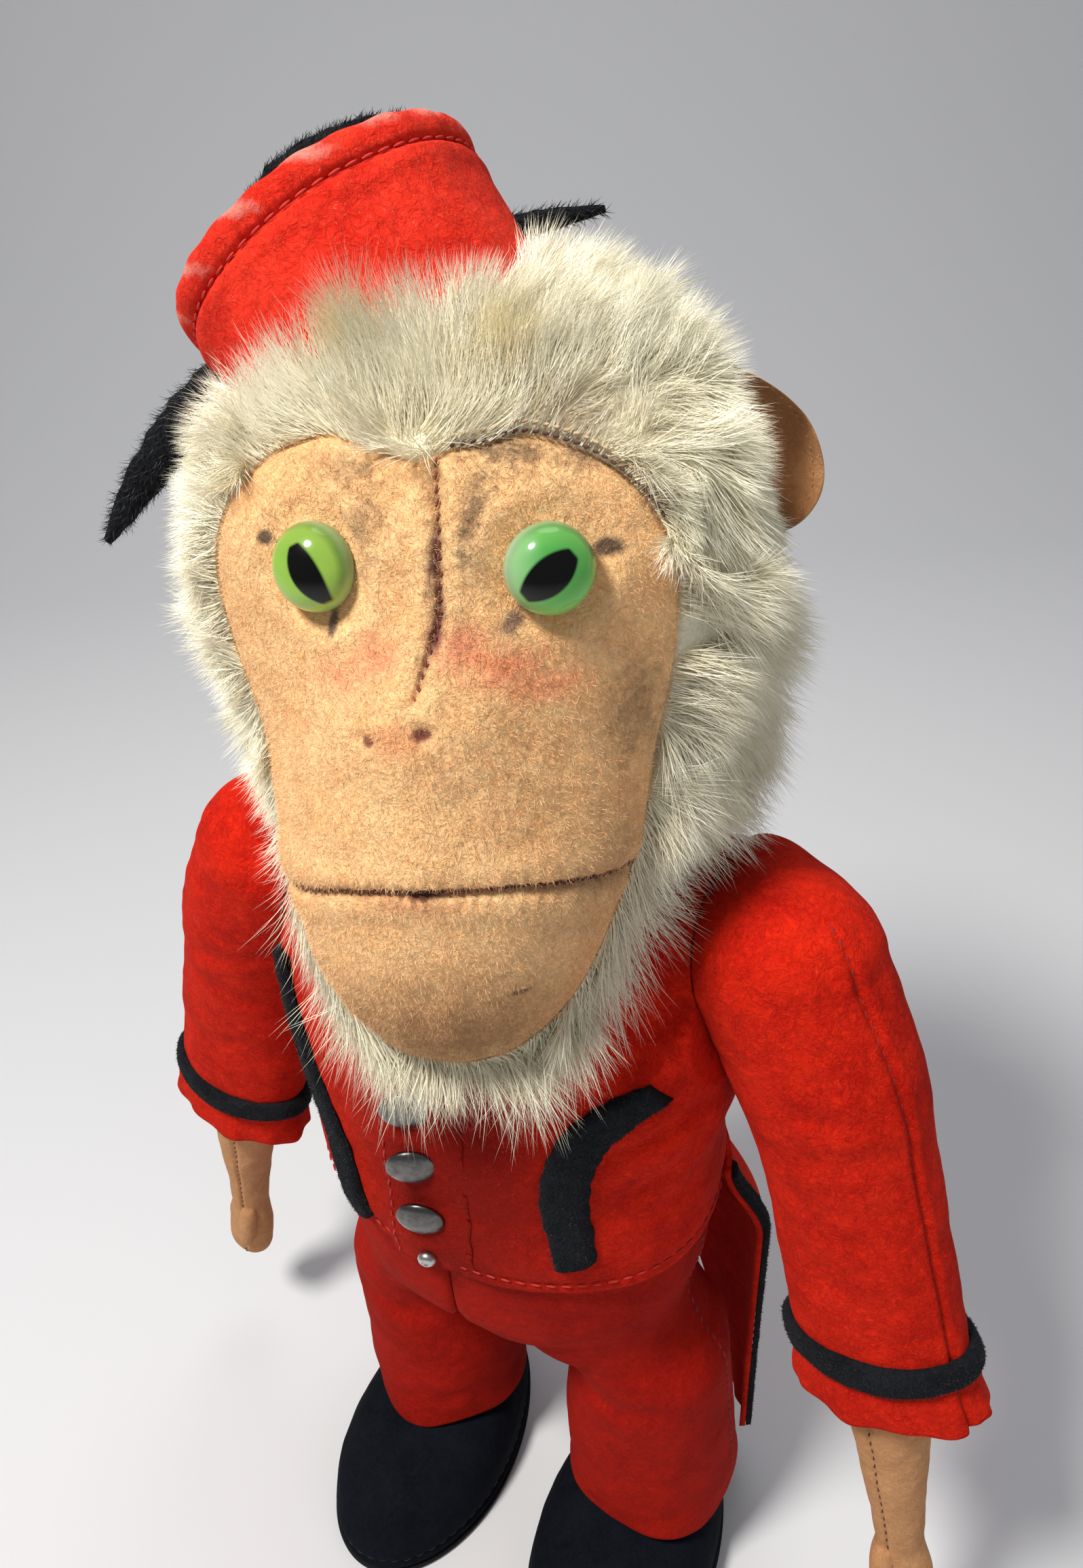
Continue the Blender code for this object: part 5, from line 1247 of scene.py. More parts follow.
def faceEdge(grow, count):
    # unit directions round the face's edge, grow degrees beyond it
    rows = [(k, turn, lift) for k, (turn, lift) in enumerate(headSettings["faceEdge"])]
    half = curveThrough(rows, np.linspace(0, len(rows) - 1, count // 2 + 1))
    loop = [(turn, lift) for turn, lift in half] + [(-turn, lift) for turn, lift in half[-2:0:-1]]
    ways = []
    for turn, lift in loop:
        dx, dz = turn - headSettings["faceMiddle"][0], lift - headSettings["faceMiddle"][1]
        size = math.hypot(dx, dz)
        ways.append(wayOf(turn + grow * dx / size, lift + grow * dz / size))
    return np.array(ways)


def between(start, end, share):
    return unit(start * (1 - share) + end * share)


def polarWays(edge, pole, count):
    return np.array([between(edge, pole, share) for share in np.linspace(0, 1, count + 1)[:-1]])


def headNormals(grid):
    # outward normals of a closed-round grid of head points [ring][around]
    acrossWay = np.roll(grid, -1, axis=1) - np.roll(grid, 1, axis=1)
    alongWay = np.gradient(grid, axis=0)
    normals = unit(np.cross(acrossWay, alongWay), 1e-12)
    away = grid - np.array(headSettings["centre"])
    normals *= np.sign(np.sum(normals * away, axis=2, keepdims=True))
    return normals


def farFromPath(points, path):
    flat = points[:, (0, 2)]
    best = np.full(len(flat), 1e9)
    for a, b in zip(path[:-1], path[1:]):
        a, b = np.array(a, float), np.array(b, float)
        t = np.clip(((flat - a) @ (b - a)) / ((b - a) @ (b - a)), 0, 1)
        best = np.minimum(best, np.linalg.norm(flat - (a + t[:, None] * (b - a)), axis=1))
    return best


faceSettings = {
    "felt": 1.5,
    "browSeam": [(2.0, 276), (2.3, 267), (2.9, 259), (2.8, 250.7), (1.5, 246.6), (0.3, 242.4)],
    "mouth": [(-34, 203.6), (-30, 206.4), (-24.4, 209.3), (-18, 213.4), (-11.3, 216.9), (-5, 218.5), (0.5, 219.0),
              (6, 218.8), (11.6, 218.1), (18, 215.6), (25.3, 210.5), (30, 206.6), (34, 203.6)],
    "eyeX": {1: 15.6, -1: 13.2}, "eyeZ": 255.4, "eyeRadius": 5.5, "eyeDepth": 5.2, "eyeSink": 1.3,
    "nostrils": [(-5.6, 237.5, 1.25, 0.9), (1.4, 239.1, 1.6, 1.1)],
}


def faceRelief(points):
    x, z = points[:, 0], points[:, 2]
    total = 0.42 * lumps(points, 11.0, 2.0) + 0.16 * lumps(points, 4.0, 5.0) + 0.06 * lumps(points, 1.6, 8.0)
    seam = farFromPath(points, faceSettings["browSeam"])
    total += 0.45 * np.exp(-((seam - 1.9) / 1.5) ** 2) - 0.55 * np.exp(-(seam / 0.4) ** 2)
    total += 0.12 * np.sin(z * 2.6) * np.exp(-(seam / 1.6) ** 2)
    mouth = farFromPath(points, faceSettings["mouth"])
    below = points[:, 2] < np.interp(x, [p[0] for p in faceSettings["mouth"]], [p[1] for p in faceSettings["mouth"]])
    total += 0.55 * np.exp(-((mouth - 2.4) / 2.0) ** 2) - 1.25 * np.exp(-(mouth / 0.55) ** 2)
    total += np.where(below, -0.15, 0.15) * np.exp(-((mouth - 4.0) / 3.4) ** 2)
    pucker = np.sin(x * 3.3 + 0.8 * np.sin(x * 0.9)) * np.exp(-((mouth - 1.0) / 1.1) ** 2)
    total += 0.2 * pucker
    nose = ((x + 2) / 8.5) ** 2 + ((z - 238.8) / 4.6) ** 2
    total += 1.0 * np.exp(-nose)
    for nx, nz, wide, tall in faceSettings["nostrils"]:
        total -= 0.75 * np.exp(-(((x - nx) / wide) ** 2 + ((z - nz) / tall) ** 2))
    for side in (1, -1):
        away = np.hypot(x - side * faceSettings["eyeX"][side], z - faceSettings["eyeZ"])
        total -= 1.3 * np.exp(-(away / 7.4) ** 4)
        total += 0.35 * np.exp(-((away - 8.6) / 1.6) ** 2)
    # faint gathers run down from the brow and out over the chin
    total += 0.14 * np.sin(x * 0.9 + 1.4 * np.sin(z * 0.14)) * smoothStep(206, 192, z)
    return total


def neckLimit(points):
    # the lowest place the head may reach over the shoulders as it turns
    radius = np.hypot(points[:, 0], points[:, 1])
    z = headSettings["neckZ"] + 0.35
    height = np.interp(radius, [17, 25, 31, 38, 60], [z, z - 2.2, z - 4.2, z - 6.5, z - 8])
    front = np.clip(-points[:, 1] / np.maximum(radius, 1e-6), 0, 1) ** 3
    return height - 14.0 * front * np.clip((radius - 25) / 12, 0, 1)


def liftNeck(grid):
    flat = grid.reshape(-1, 3).copy()
    flat[:, 2] = np.maximum(flat[:, 2], neckLimit(flat) + 0.15)
    return flat.reshape(grid.shape)


def makeFace():
    around, rings = 400, 180
    ways = polarWays(faceEdge(1.4, around), wayOf(*headSettings["faceMiddle"]), rings)
    base = headPoints(ways)
    normals = headNormals(base)
    relief = faceRelief(base.reshape(-1, 3)).reshape(rings, around, 1)
    ringShare = np.linspace(0, 1, rings)[:, None, None]
    edgeFade = smoothStep(0.0, 0.06, ringShare)
    outer = liftNeck(base + normals * (relief * edgeFade - 0.9 * (1 - edgeFade)))
    pole = outer[-1].mean(axis=0)
    inner = liftNeck(headPoints(ways[::10], faceSettings["felt"] + 0.9))
    stack = list(outer[::-1]) + [inner[0]]
    verts = np.concatenate([np.concatenate(stack), pole[None, :], np.concatenate(list(inner[1:]))])
    count = len(outer)
    faces = ringFaces(count + 1, around)
    hub = (count + 1) * around
    faces += capFaces(0, around, hub)
    start = count * around
    for k in range(len(inner) - 1):
        nextRing = hub + 1 + k * around
        faces += [(start + i, start + (i + 1) % around, nextRing + (i + 1) % around, nextRing + i)
                  for i in range(around)]
        start = nextRing
    verts = np.concatenate([verts, inner[-1].mean(axis=0)[None, :]])
    faces += capFaces(start, around, len(verts) - 1)
    face = makeMesh("faceCloth", inHead(verts), faces, finishes["face"])
    flat = base[::-1].reshape(-1, 3)
    mouth, brow = farFromPath(flat, faceSettings["mouth"]), farFromPath(flat, faceSettings["browSeam"])
    worn = 0.55 + 0.9 * lumps(flat, 3.0, 17.0)
    tint = 0.75 * np.clip(worn + 0.25, 0, 1) * np.exp(-(mouth / 0.5) ** 2) * smoothStep(27, 22, np.abs(flat[:, 0]))
    stained = np.interp(flat[:, 2], (242, 245, 249, 257, 261, 266, 272), (0.1, 0.45, 1.0, 0.95, 0.4, 0.2, 0.35))
    tint += 0.9 * np.clip(worn + 0.2, 0, 1) * np.exp(-(brow / 0.7) ** 2) * stained
    tints = np.zeros(len(verts))
    tints[:len(tint)] = np.clip(tint, 0, 1)
    face.data.attributes.new("seamTint", "FLOAT", "POINT").data.foreach_set("value", tints.astype(np.float32))
    faceOutwards(face)
    settle(face, "head", "face_felt", "chin_felt")
    wrapped = inHead(np.concatenate([outer, outer[:, :1]], axis=1))
    fuzzOver("faceFuzz", wrapped[::-1], (0.85, 1.1, 6.5e6, 77), "head", "faceFuzz", 0.00007)
    # seams down the brow and across the mouth
    for name, path, finish, spacing, lift in (
            ("browStitches", faceSettings["browSeam"][1:], "browThread", 0.0015, 0.05),
            ("mouthStitches", faceSettings["mouth"][1:-1], "mouthThread", 0.0015, -0.3)):
        rows = [(k, x, z) for k, (x, z) in enumerate(path)]
        line = curveThrough(rows, np.linspace(0, len(rows) - 1, 70))
        points = np.array([headFront(x, z, lift) for x, z in line])
        stitchRow(name, inHead(points), "head", finishes[finish], spacing, 0.0013, 0.00019, 0.65)


def makeBrowEdge():
    # the pile cloth's stitched edge shows over the left brow, where the hair is worn off
    edge = headPoints(faceEdge(0.5, 700), -0.35)
    shown = [p for p in edge if 4 < p[0] < 32 and p[2] > 259]
    shown.sort(key=lambda p: p[0])
    for name, rise, finish in (("browEdgeStitches", 0.0, "darkThread"), ("browEdgeWeave", 1.1, "weave")):
        points = [p + np.array((0, 0.35, 0.9)) * rise for p in shown]
        stitchRow(name, inHead(np.array(points)), "head", finishes[finish], 0.0012, 0.0013, 0.00024, 1.1)


def wayThrough(x, z):
    way = unit(np.array([x, -20.0, z - headSettings["centre"][2]]))
    for _ in range(25):
        point = headPoints(way[None, :])[0]
        way = unit(way + np.array([x - point[0], 0, z - point[2]]) / 40.0)
    return way


def headFront(x, z, lift):
    way = wayThrough(x, z)
    return headPoints(way[None, :], -lift)[0]


def headNormalAt(way):
    side = unit(np.cross(way, (0, 0, 1.0)))
    up = np.cross(side, way)
    right, above, left, below = headPoints(unit(np.array([way + pull * 0.04 for pull in (side, up, -side, -up)])))
    return unit(np.cross(above - below, right - left))


def makeHeadCore():
    # the mohair cloth's closed body, under the pile and behind the face
    around, rings = 200, 90
    pole = wayOf(*headSettings["hoodMiddle"])
    back = polarWays(faceEdge(-0.4, around), pole, rings)
    points = headPoints(back, 0.15)
    normals = headNormals(points)
    sway = 0.35 * lumps(points, 9.0, 6.0).reshape(rings, around, 1)
    edgeFade = smoothStep(0.0, 0.05, np.linspace(0, 1, rings)[:, None, None])
    points = liftNeck(points + normals * sway * edgeFade - normals * 1.2 * (1 - edgeFade))
    front = polarWays(faceEdge(-0.4, around), wayOf(*headSettings["faceMiddle"]), 14)
    under = liftNeck(headPoints(front[1:], 3.3))
    grid = list(under[::-1]) + list(points)
    hood = tubeMesh("hoodCloth", [inHead(ring) for ring in grid], finishes["hairCloth"])
    settle(hood, "head", "mohair_hood", "head_stuffing")


# Eyes: glass domes with a green iris and a black slit

# each eye: the slit's tilt in degrees, its half width and height, how strong the pale painted reflection on the far
# side is, the slit's middle, then the greens from the middle out to the edge
eyeLooks = {
    1: (54, (0.40, 0.82), 0.75, (-0.12, -0.06),
        ((0.05, 0.26, 0.055), (0.08, 0.38, 0.075), (0.17, 0.52, 0.11), (0.11, 0.28, 0.085))),
    -1: (-31, (0.34, 0.82), 0.0, (0.27, -0.05),
         ((0.17, 0.34, 0.045), (0.23, 0.43, 0.055), (0.31, 0.50, 0.08), (0.14, 0.26, 0.045))),
}


def makeEyeFinish(name, tilt, pupil, paintedReflectionShare, centre, greens):
    made, tree, shader, _ = startMaterial(name)
    uv = nodeIn(tree, "ShaderNodeUVMap", uv_map="eyeDisc").outputs[0]
    split = lambda vector: nodeIn(tree, "ShaderNodeSeparateXYZ", inputs={0: vector}).outputs
    turned = nodeIn(tree, "ShaderNodeMapping", inputs={
        "Vector": vectorOf(tree, "SUBTRACT", uv, (*centre, 0.0)), "Rotation": (0, 0, math.radians(tilt))}).outputs[0]
    across, along, _ = split(turned)
    right, up, _ = split(uv)
    radius = vectorOf(tree, "LENGTH", uv)
    # the pupil is a lens: the part two circles share, with its two tips cut blunt
    wide, tall = pupil
    shift = (tall * tall - wide * wide) / (2 * wide)
    reach = shift + wide
    lens = remap(tree, sumOf(tree, "ABSOLUTE", along), tall * 0.80, tall * 0.88, 1.0, 0.0)
    for way in (1, -1):
        flat = nodeIn(tree, "ShaderNodeCombineXYZ", inputs={0: sumOf(tree, "ADD", across, way * shift), 1: along})
        inside = remap(tree, vectorOf(tree, "LENGTH", flat.outputs[0]), reach - 0.03, reach + 0.03, 1.0, 0.0)
        lens = sumOf(tree, "MULTIPLY", lens, inside)
    bowl = sumOf(tree, "MULTIPLY_ADD", grain(tree, uv, 3.0, 3.0), 0.08, radius)
    ramp = nodeIn(tree, "ShaderNodeValToRGB", inputs={0: bowl})
    stops = tuple(zip((0.0, 0.55, 0.88, 1.0), greens))
    while len(ramp.color_ramp.elements) < len(stops):
        ramp.color_ramp.elements.new(0.5)
    for element, (at, tint) in zip(ramp.color_ramp.elements, stops):
        element.position = at
        element.color = (*tint, 1.0)
    # painted light: the green is painted brighter on the lower side, where light gathers in the glass away from the
    # lamps, and darker on the upper side as painted shade; a pale painted reflection is laid over the far side
    bright = tuple(min(1.4 * c, 0.95) for c in greens[2])
    deep = tuple(0.35 * c for c in greens[2])
    colour = mixColour(tree, remap(tree, up, -0.9, 0.3, 0.7, 0.0), ramp.outputs[0], bright)
    colour = mixColour(tree, remap(tree, up, 0.1, 0.8, 0.0, 0.45), colour, deep)
    colour = mixColour(tree, remap(tree, right, -0.2, -1.0, 0.0, paintedReflectionShare), colour, (0.30, 0.42, 0.28))
    colour = mixColour(tree, lens, colour, (0.001, 0.001, 0.001))
    # a pale painted highlight along the glass's rim
    rim = sumOf(tree, "MULTIPLY", remap(tree, radius, 0.93, 0.985), 0.3)
    tree.links.new(mixColour(tree, rim, colour, (0.50, 0.62, 0.40)), shader.inputs["Base Color"])
    dress(shader, {"Roughness": 0.25, "Specular IOR Level": 0.1, "Coat Weight": 0.7, "Coat Roughness": 0.015,
                   "Coat IOR": 1.45})
    return made


def makeEye(side):
    word = sideWords[side]
    way = wayThrough(faceSettings["eyeX"][side], faceSettings["eyeZ"])
    seat = headPoints(way[None, :])[0]
    normal = headNormalAt(way)
    place = (seat - normal * faceSettings["eyeSink"]) * (side, 1, 1)
    normal = normal * (side, 1, 1)
    across = unit(np.cross((0, 0, 1.0), normal))
    up = np.cross(normal, across)
    radius, depth = faceSettings["eyeRadius"], faceSettings["eyeDepth"]
    profile = [(radius - 0.6, 0.0), (radius - 0.15, 0.25), (radius, 0.8)]
    profile += [(radius * math.sin(a), 1.0 + (depth - 1.0) * math.cos(a)) for a in np.linspace(1.45, 0.04, 30)]
    around = 96
    verts, discs = [], []
    for r, h in profile:
        for turn in circleOf(around):
            x, y = r * math.cos(turn), r * math.sin(turn)
            verts.append(place + across * x + up * y + normal * h)
            discs.append((x / radius, y / radius) if h > 0.5 else (x / (radius - 0.3), y / (radius - 0.3)))
    faces = ringFaces(len(profile), around)
    verts += [place, place + normal * depth]
    discs += [(0.98, 0), (0, 0)]
    faces += capFaces(0, around, len(verts) - 2) + capFaces((len(profile) - 1) * around, around, len(verts) - 1)
    finish = makeEyeFinish("eyeGlass" + word.title(), *eyeLooks[side])
    eye = makeMesh("eye" + word.title(), inHead(np.array(verts)), faces, finish)
    layer = eye.data.uv_layers.new(name="eyeDisc")
    for loop in eye.data.loops:
        layer.data[loop.index].uv = discs[loop.vertex_index]
    settle(faceOutwards(eye, merge=False), "head", "eye_" + word)


# Ears: cupped felt, stitched round the rim

earSettings = {"halfHeight": 13.0, "reach": 9.5, "cup": 4.0, "felt": 1.5, "turn": 118.0, "lift": {1: 26.5, -1: 17.0}}


def earFeet(heights):
    # where the head's side is widest at these heights
    lifts = np.linspace(-20, 75, 200)
    points = headPoints(np.array([wayOf(earSettings["turn"], lift) for lift in lifts]))
    return [points[np.argmin(np.abs(points[:, 2] - z))] for z in heights]


def makeEar(side):
    word = sideWords[side]
    root = headPoints(wayOf(earSettings["turn"], earSettings["lift"][side])[None, :])[0]
    rows, columns = 70, 34
    ups = np.linspace(-1, 1, rows)
    feet = earFeet(root[2] + earSettings["halfHeight"] * ups)
    feet = np.array([np.mean(feet[max(0, k - 4):k + 5], axis=0) for k in range(rows)])
    front, back = [], []
    for up, foot in zip(ups, feet):
        reach = earSettings["reach"] * max(0.12, 1 - abs(up) ** 2.4) ** 0.5
        z = root[2] + earSettings["halfHeight"] * up
        frontRow, backRow = [], []
        for c in range(columns):
            out = -0.35 + 1.35 * c / (columns - 1)
            cup = earSettings["cup"] * math.sin(math.pi * min(1.0, 0.15 + 0.8 * max(out, 0))) * (1 - 0.6 * up * up)
            x = foot[0] + 0.8 + reach * out
            y = foot[1] + 1.5 + cup - 2.5 * max(out, 0) ** 2
            thin = 1.0 - 0.65 * smoothStep(0.93, 1.0, max(out, abs(up)))
            dent = 0.4 * math.exp(-((max(out, abs(up)) - 0.86) / 0.045) ** 2) if out > 0.1 else 0.0
            lump = 0.3 * noise.noise(Vector((x / 5, y / 5 + side, z / 5)))
            half = earSettings["felt"] * 0.5 * thin
            frontRow.append((x, y - half + dent * 0.5 + lump, z))
            backRow.append((x - 0.3 * thin, y + half - dent * 0.5 + lump, z))
        front.append(frontRow)
        back.append(backRow)
    front, back = np.array(front) * (side, 1, 1), np.array(back) * (side, 1, 1)
    ear = sheetMesh("ear" + word.title(), inHead(back), inHead(front), finishes["tan"])
    settle(ear, "head", "ear_" + word)
    column = int((0.86 + 0.35) / 1.35 * (columns - 1))
    rim = [inHead(front[r, column] - (0, 0.05, 0)) for r in range(5, rows - 5)]
    stitchRow("earStitches" + word.title(), rim, "head", finishes["earThread"], 0.0019, 0.0011, 0.00016, 0.4)


# Hat: a flared felt wall, a groove of stitches under its worn rim, and a sunk top

hatSettings = {"rim": (-21.4, 17.5, 285.1), "axis": (-0.570, 0.330, 0.752), "rimR": 23.4, "baseR": 22.2, "height": 24.0}


def hatFrame():
    turn = Vector(hatSettings["axis"]).normalized().to_track_quat("Z", "Y").to_matrix().to_4x4()
    return np.array(Matrix.Translation(Vector(hatSettings["rim"])) @ turn)


def inHat(points):
    m = hatFrame()
    return inHead(np.asarray(points, float) @ m[:3, :3].T + m[:3, 3])


def makeHat():
    around = 260
    turn = circleOf(around)

    def ring(z, radius, wobble=0.0):
        r = radius + wobble * (0.5 * np.sin(turn * 3 + 1) + 0.3 * np.sin(turn * 7 + 2))
        return ringOf(r * np.cos(turn), r * np.sin(turn), z)

    rings = []
    for z in np.linspace(-30, -0.7, 90):
        flare = min(1.4, (-z / hatSettings["height"]) ** 0.9)
        radius = hatSettings["rimR"] + (hatSettings["baseR"] - hatSettings["rimR"]) * flare
        groove = sum(deep * math.exp(-((z + at) / wide) ** 2)
                     for deep, at, wide in ((-0.8, 4.1, 0.42), (0.35, 2.0, 1.3), (0.25, 6.2, 1.4)))
        made = ring(z, radius + groove, 0.3 if z > -6 else 0.2)
        out = unit(made * (1, 1, 0))
        made += out * (0.45 * lumps(made, 11.0, 3.0) + 0.15 * lumps(made, 3.5, 6.0))[:, None]
        rings.append(made)
    top = rings[-1]
    out = unit(top * (1, 1, 0))
    for pull, rise in ((0.15, 0.35), (0.5, 0.65), (1.0, 0.75), (1.5, 0.55), (1.85, 0.1), (1.9, -0.8)):
        made = top - out * pull + (0, 0, rise)
        made[:, 2] += 0.12 * np.sin(turn * 23)
        rings.append(made)
    for pull, rise in ((2.2, -1.3), (3.2, -1.25), (6, -1.0), (10, -0.8), (15, -0.6), (19, -0.5)):
        made = top - out * pull + (0, 0, rise)
        made[:, 2] += 0.35 * lumps(made, 6.0, 9.0)
        rings.append(made)
    hat = tubeMesh("hatCloth", [inHat(r) for r in rings], finishes["hat"])
    settle(hat, "head", "hat_side", "hat_top")
    line = [inHat(p) for p in ring(-4.1, hatSettings["rimR"] - 0.45, 0.3)]
    stitchRow("hatStitches", line, "head", finishes["hatThread"], 0.0024, 0.0018, 0.00022, 0.1, True)
    # a loose thread at the rim's low side
    path = curveThrough([(0, -26.6, -1.0, -1.6), (1, -28.4, -2.2, -3.6), (2, -28.2, -3.6, -6.6),
                         (3, -30.6, -3.0, -8.8)], np.linspace(0, 3, 40))
    cordMesh("looseThread", [inHat(p) for p in path], 0.00016, finishes["brightThread"], "head")


def cordMesh(name, points, radius, finish, body):
    points = [Vector(p) for p in points]
    rings = []
    side = None
    for k, point in enumerate(points):
        along = (points[min(k + 1, len(points) - 1)] - points[max(k - 1, 0)]).normalized()
        side = along.orthogonal().normalized() if side is None else (side - along * side.dot(along)).normalized()
        up = along.cross(side)
        rings.append(np.array([point + radius * (math.cos(a) * side + math.sin(a) * up) for a in circleOf(8)]))
    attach(tubeMesh(name, rings, finish), body)


hatSpots = []
for angle in circleOf(14):
    # the rim is worn paler
    edge = inHat((23.6 * math.cos(angle), 23.6 * math.sin(angle), 0.0))
    hatSpots.append((edge, (6.0, 6.0, 1.5), (0.88, 0.42, 0.34), 0.55, 0.9, 1.3))
finishes["hat"] = makeFelt("hatFelt", {
    "light": (0.92, 0.042, 0.020), "dark": (0.62, 0.015, 0.007), "lint": (0.92, 0.26, 0.17), "bump": 0.9,
    "lintShare": 0.5, "sheen": 0.1, "spots": hatSpots})


# Bow: a knot, a loop and two tails in black felt, with long straggling fibres

bowSettings = {
    "knot": (-40.0, 40.0, 270.0),
    "pieces": {
        "loop": ((-44, 38.5, 280), (-13, 40.5, 297), 4.6), "tail_right": ((-45, 41.5, 265.5), (-83, 44, 228), 3.4),
        "tail_left": ((-34.5, 43.5, 271.5), (15, 45.5, 283.5), 2.3)},
}


def makeBow():
    turns = circleOf(40)
    rings = []
    for a in np.linspace(0.08, math.pi - 0.08, 26):
        ring = ringOf(4.2 * math.sin(a) * np.cos(turns), 4.2 * math.sin(a) * np.sin(turns), -4.6 * math.cos(a))
        ring *= (1 + 0.1 * lumps(ring, 2.2, 4.0))[:, None]
        rings.append(ring + np.array(bowSettings["knot"]))
    knot = tubeMesh("bowKnot", [inHead(r) for r in rings], finishes["black"])
    settle(knot, "head", "bow_knot")
    for name, (start, end, half) in bowSettings["pieces"].items():
        start, end = np.array(start, float), np.array(end, float)
        along = unit(end - start)
        deep = unit(np.cross(along, (0, 0, 1.0)))
        wide = np.cross(deep, along)
        rings, combs = [], []
        for share in np.linspace(-0.12, 0.985, 90):
            inside = max(share, 0.015)
            swell = half * (math.sin(math.pi * inside ** 0.8) ** 0.7 + 0.12) * (1 + 0.05 * math.sin(inside * 40))
            middle = start + (end - start) * inside + wide * 1.5 * math.sin(math.pi * inside)
            # a narrow neck reaches back into the knot
            middle += (np.array(bowSettings["knot"]) - middle) * (inside - share) / 0.135 * 0.8
            ring = middle + np.outer(np.cos(turns), wide) * swell + np.outer(np.sin(turns), deep) * swell * 0.6
            away = ring - middle
            ring += away * (0.12 * lumps(ring, 3.0, 5.0))[:, None]
            rings.append(ring)
            combs.append(unit(away) * 0.55 + along)
        label = name.title().replace("_", "")
        made = tubeMesh("bow" + label, [inHead(r) for r in rings], finishes["black"])
        settle(made, "head", "bow_" + name)
        grid = np.array([inHead(r) for r in rings])
        far = np.array([inHead(r + c) for r, c in zip(rings, combs)])
        comb = unit((far - grid).reshape(-1, 3))
        pile, density = (0.0013, 5.0e6) if name == "loop" else (0.0018, 3.5e6)
        look = {"bend": 0.35, "density": density, "width": 0.00013, "spread": 0.7, "seed": 60 + len(name)}
        hairOver("bowHair" + label, grid.reshape(-1, 3), ringFaces(len(rings), len(turns)), comb,
                 np.full(len(comb), pile), np.ones(len(comb)), look, "head", finishes["blackHair"])


# Mohair pile: strands combed out and down from the brow, over the crown, the sides and the beard

hairSettings = {
    "top": {"density": 1.85e7, "width": 0.00011, "spread": 0.20, "bend": 0.32, "seed": 1},
    "left": {"density": 2.25e7, "width": 0.00012, "spread": 0.20, "bend": 0.32, "seed": 2},
    "right": {"density": 2.15e7, "width": 0.00012, "spread": 0.20, "bend": 0.32, "seed": 3},
    "beard": {"density": 1.4e7, "width": 0.00016, "spread": 0.20, "bend": 0.30, "seed": 5},
    "back": {"density": 4.4e6, "width": 0.00022, "spread": 0.24, "bend": 0.32, "seed": 4},
}


hairPeaks = [((-5, -13.5, 275), 6.5, (-10, 1.5, 10)), ((9.5, -15, 272.8), 6.0, (0.5, 6.5, 12))]


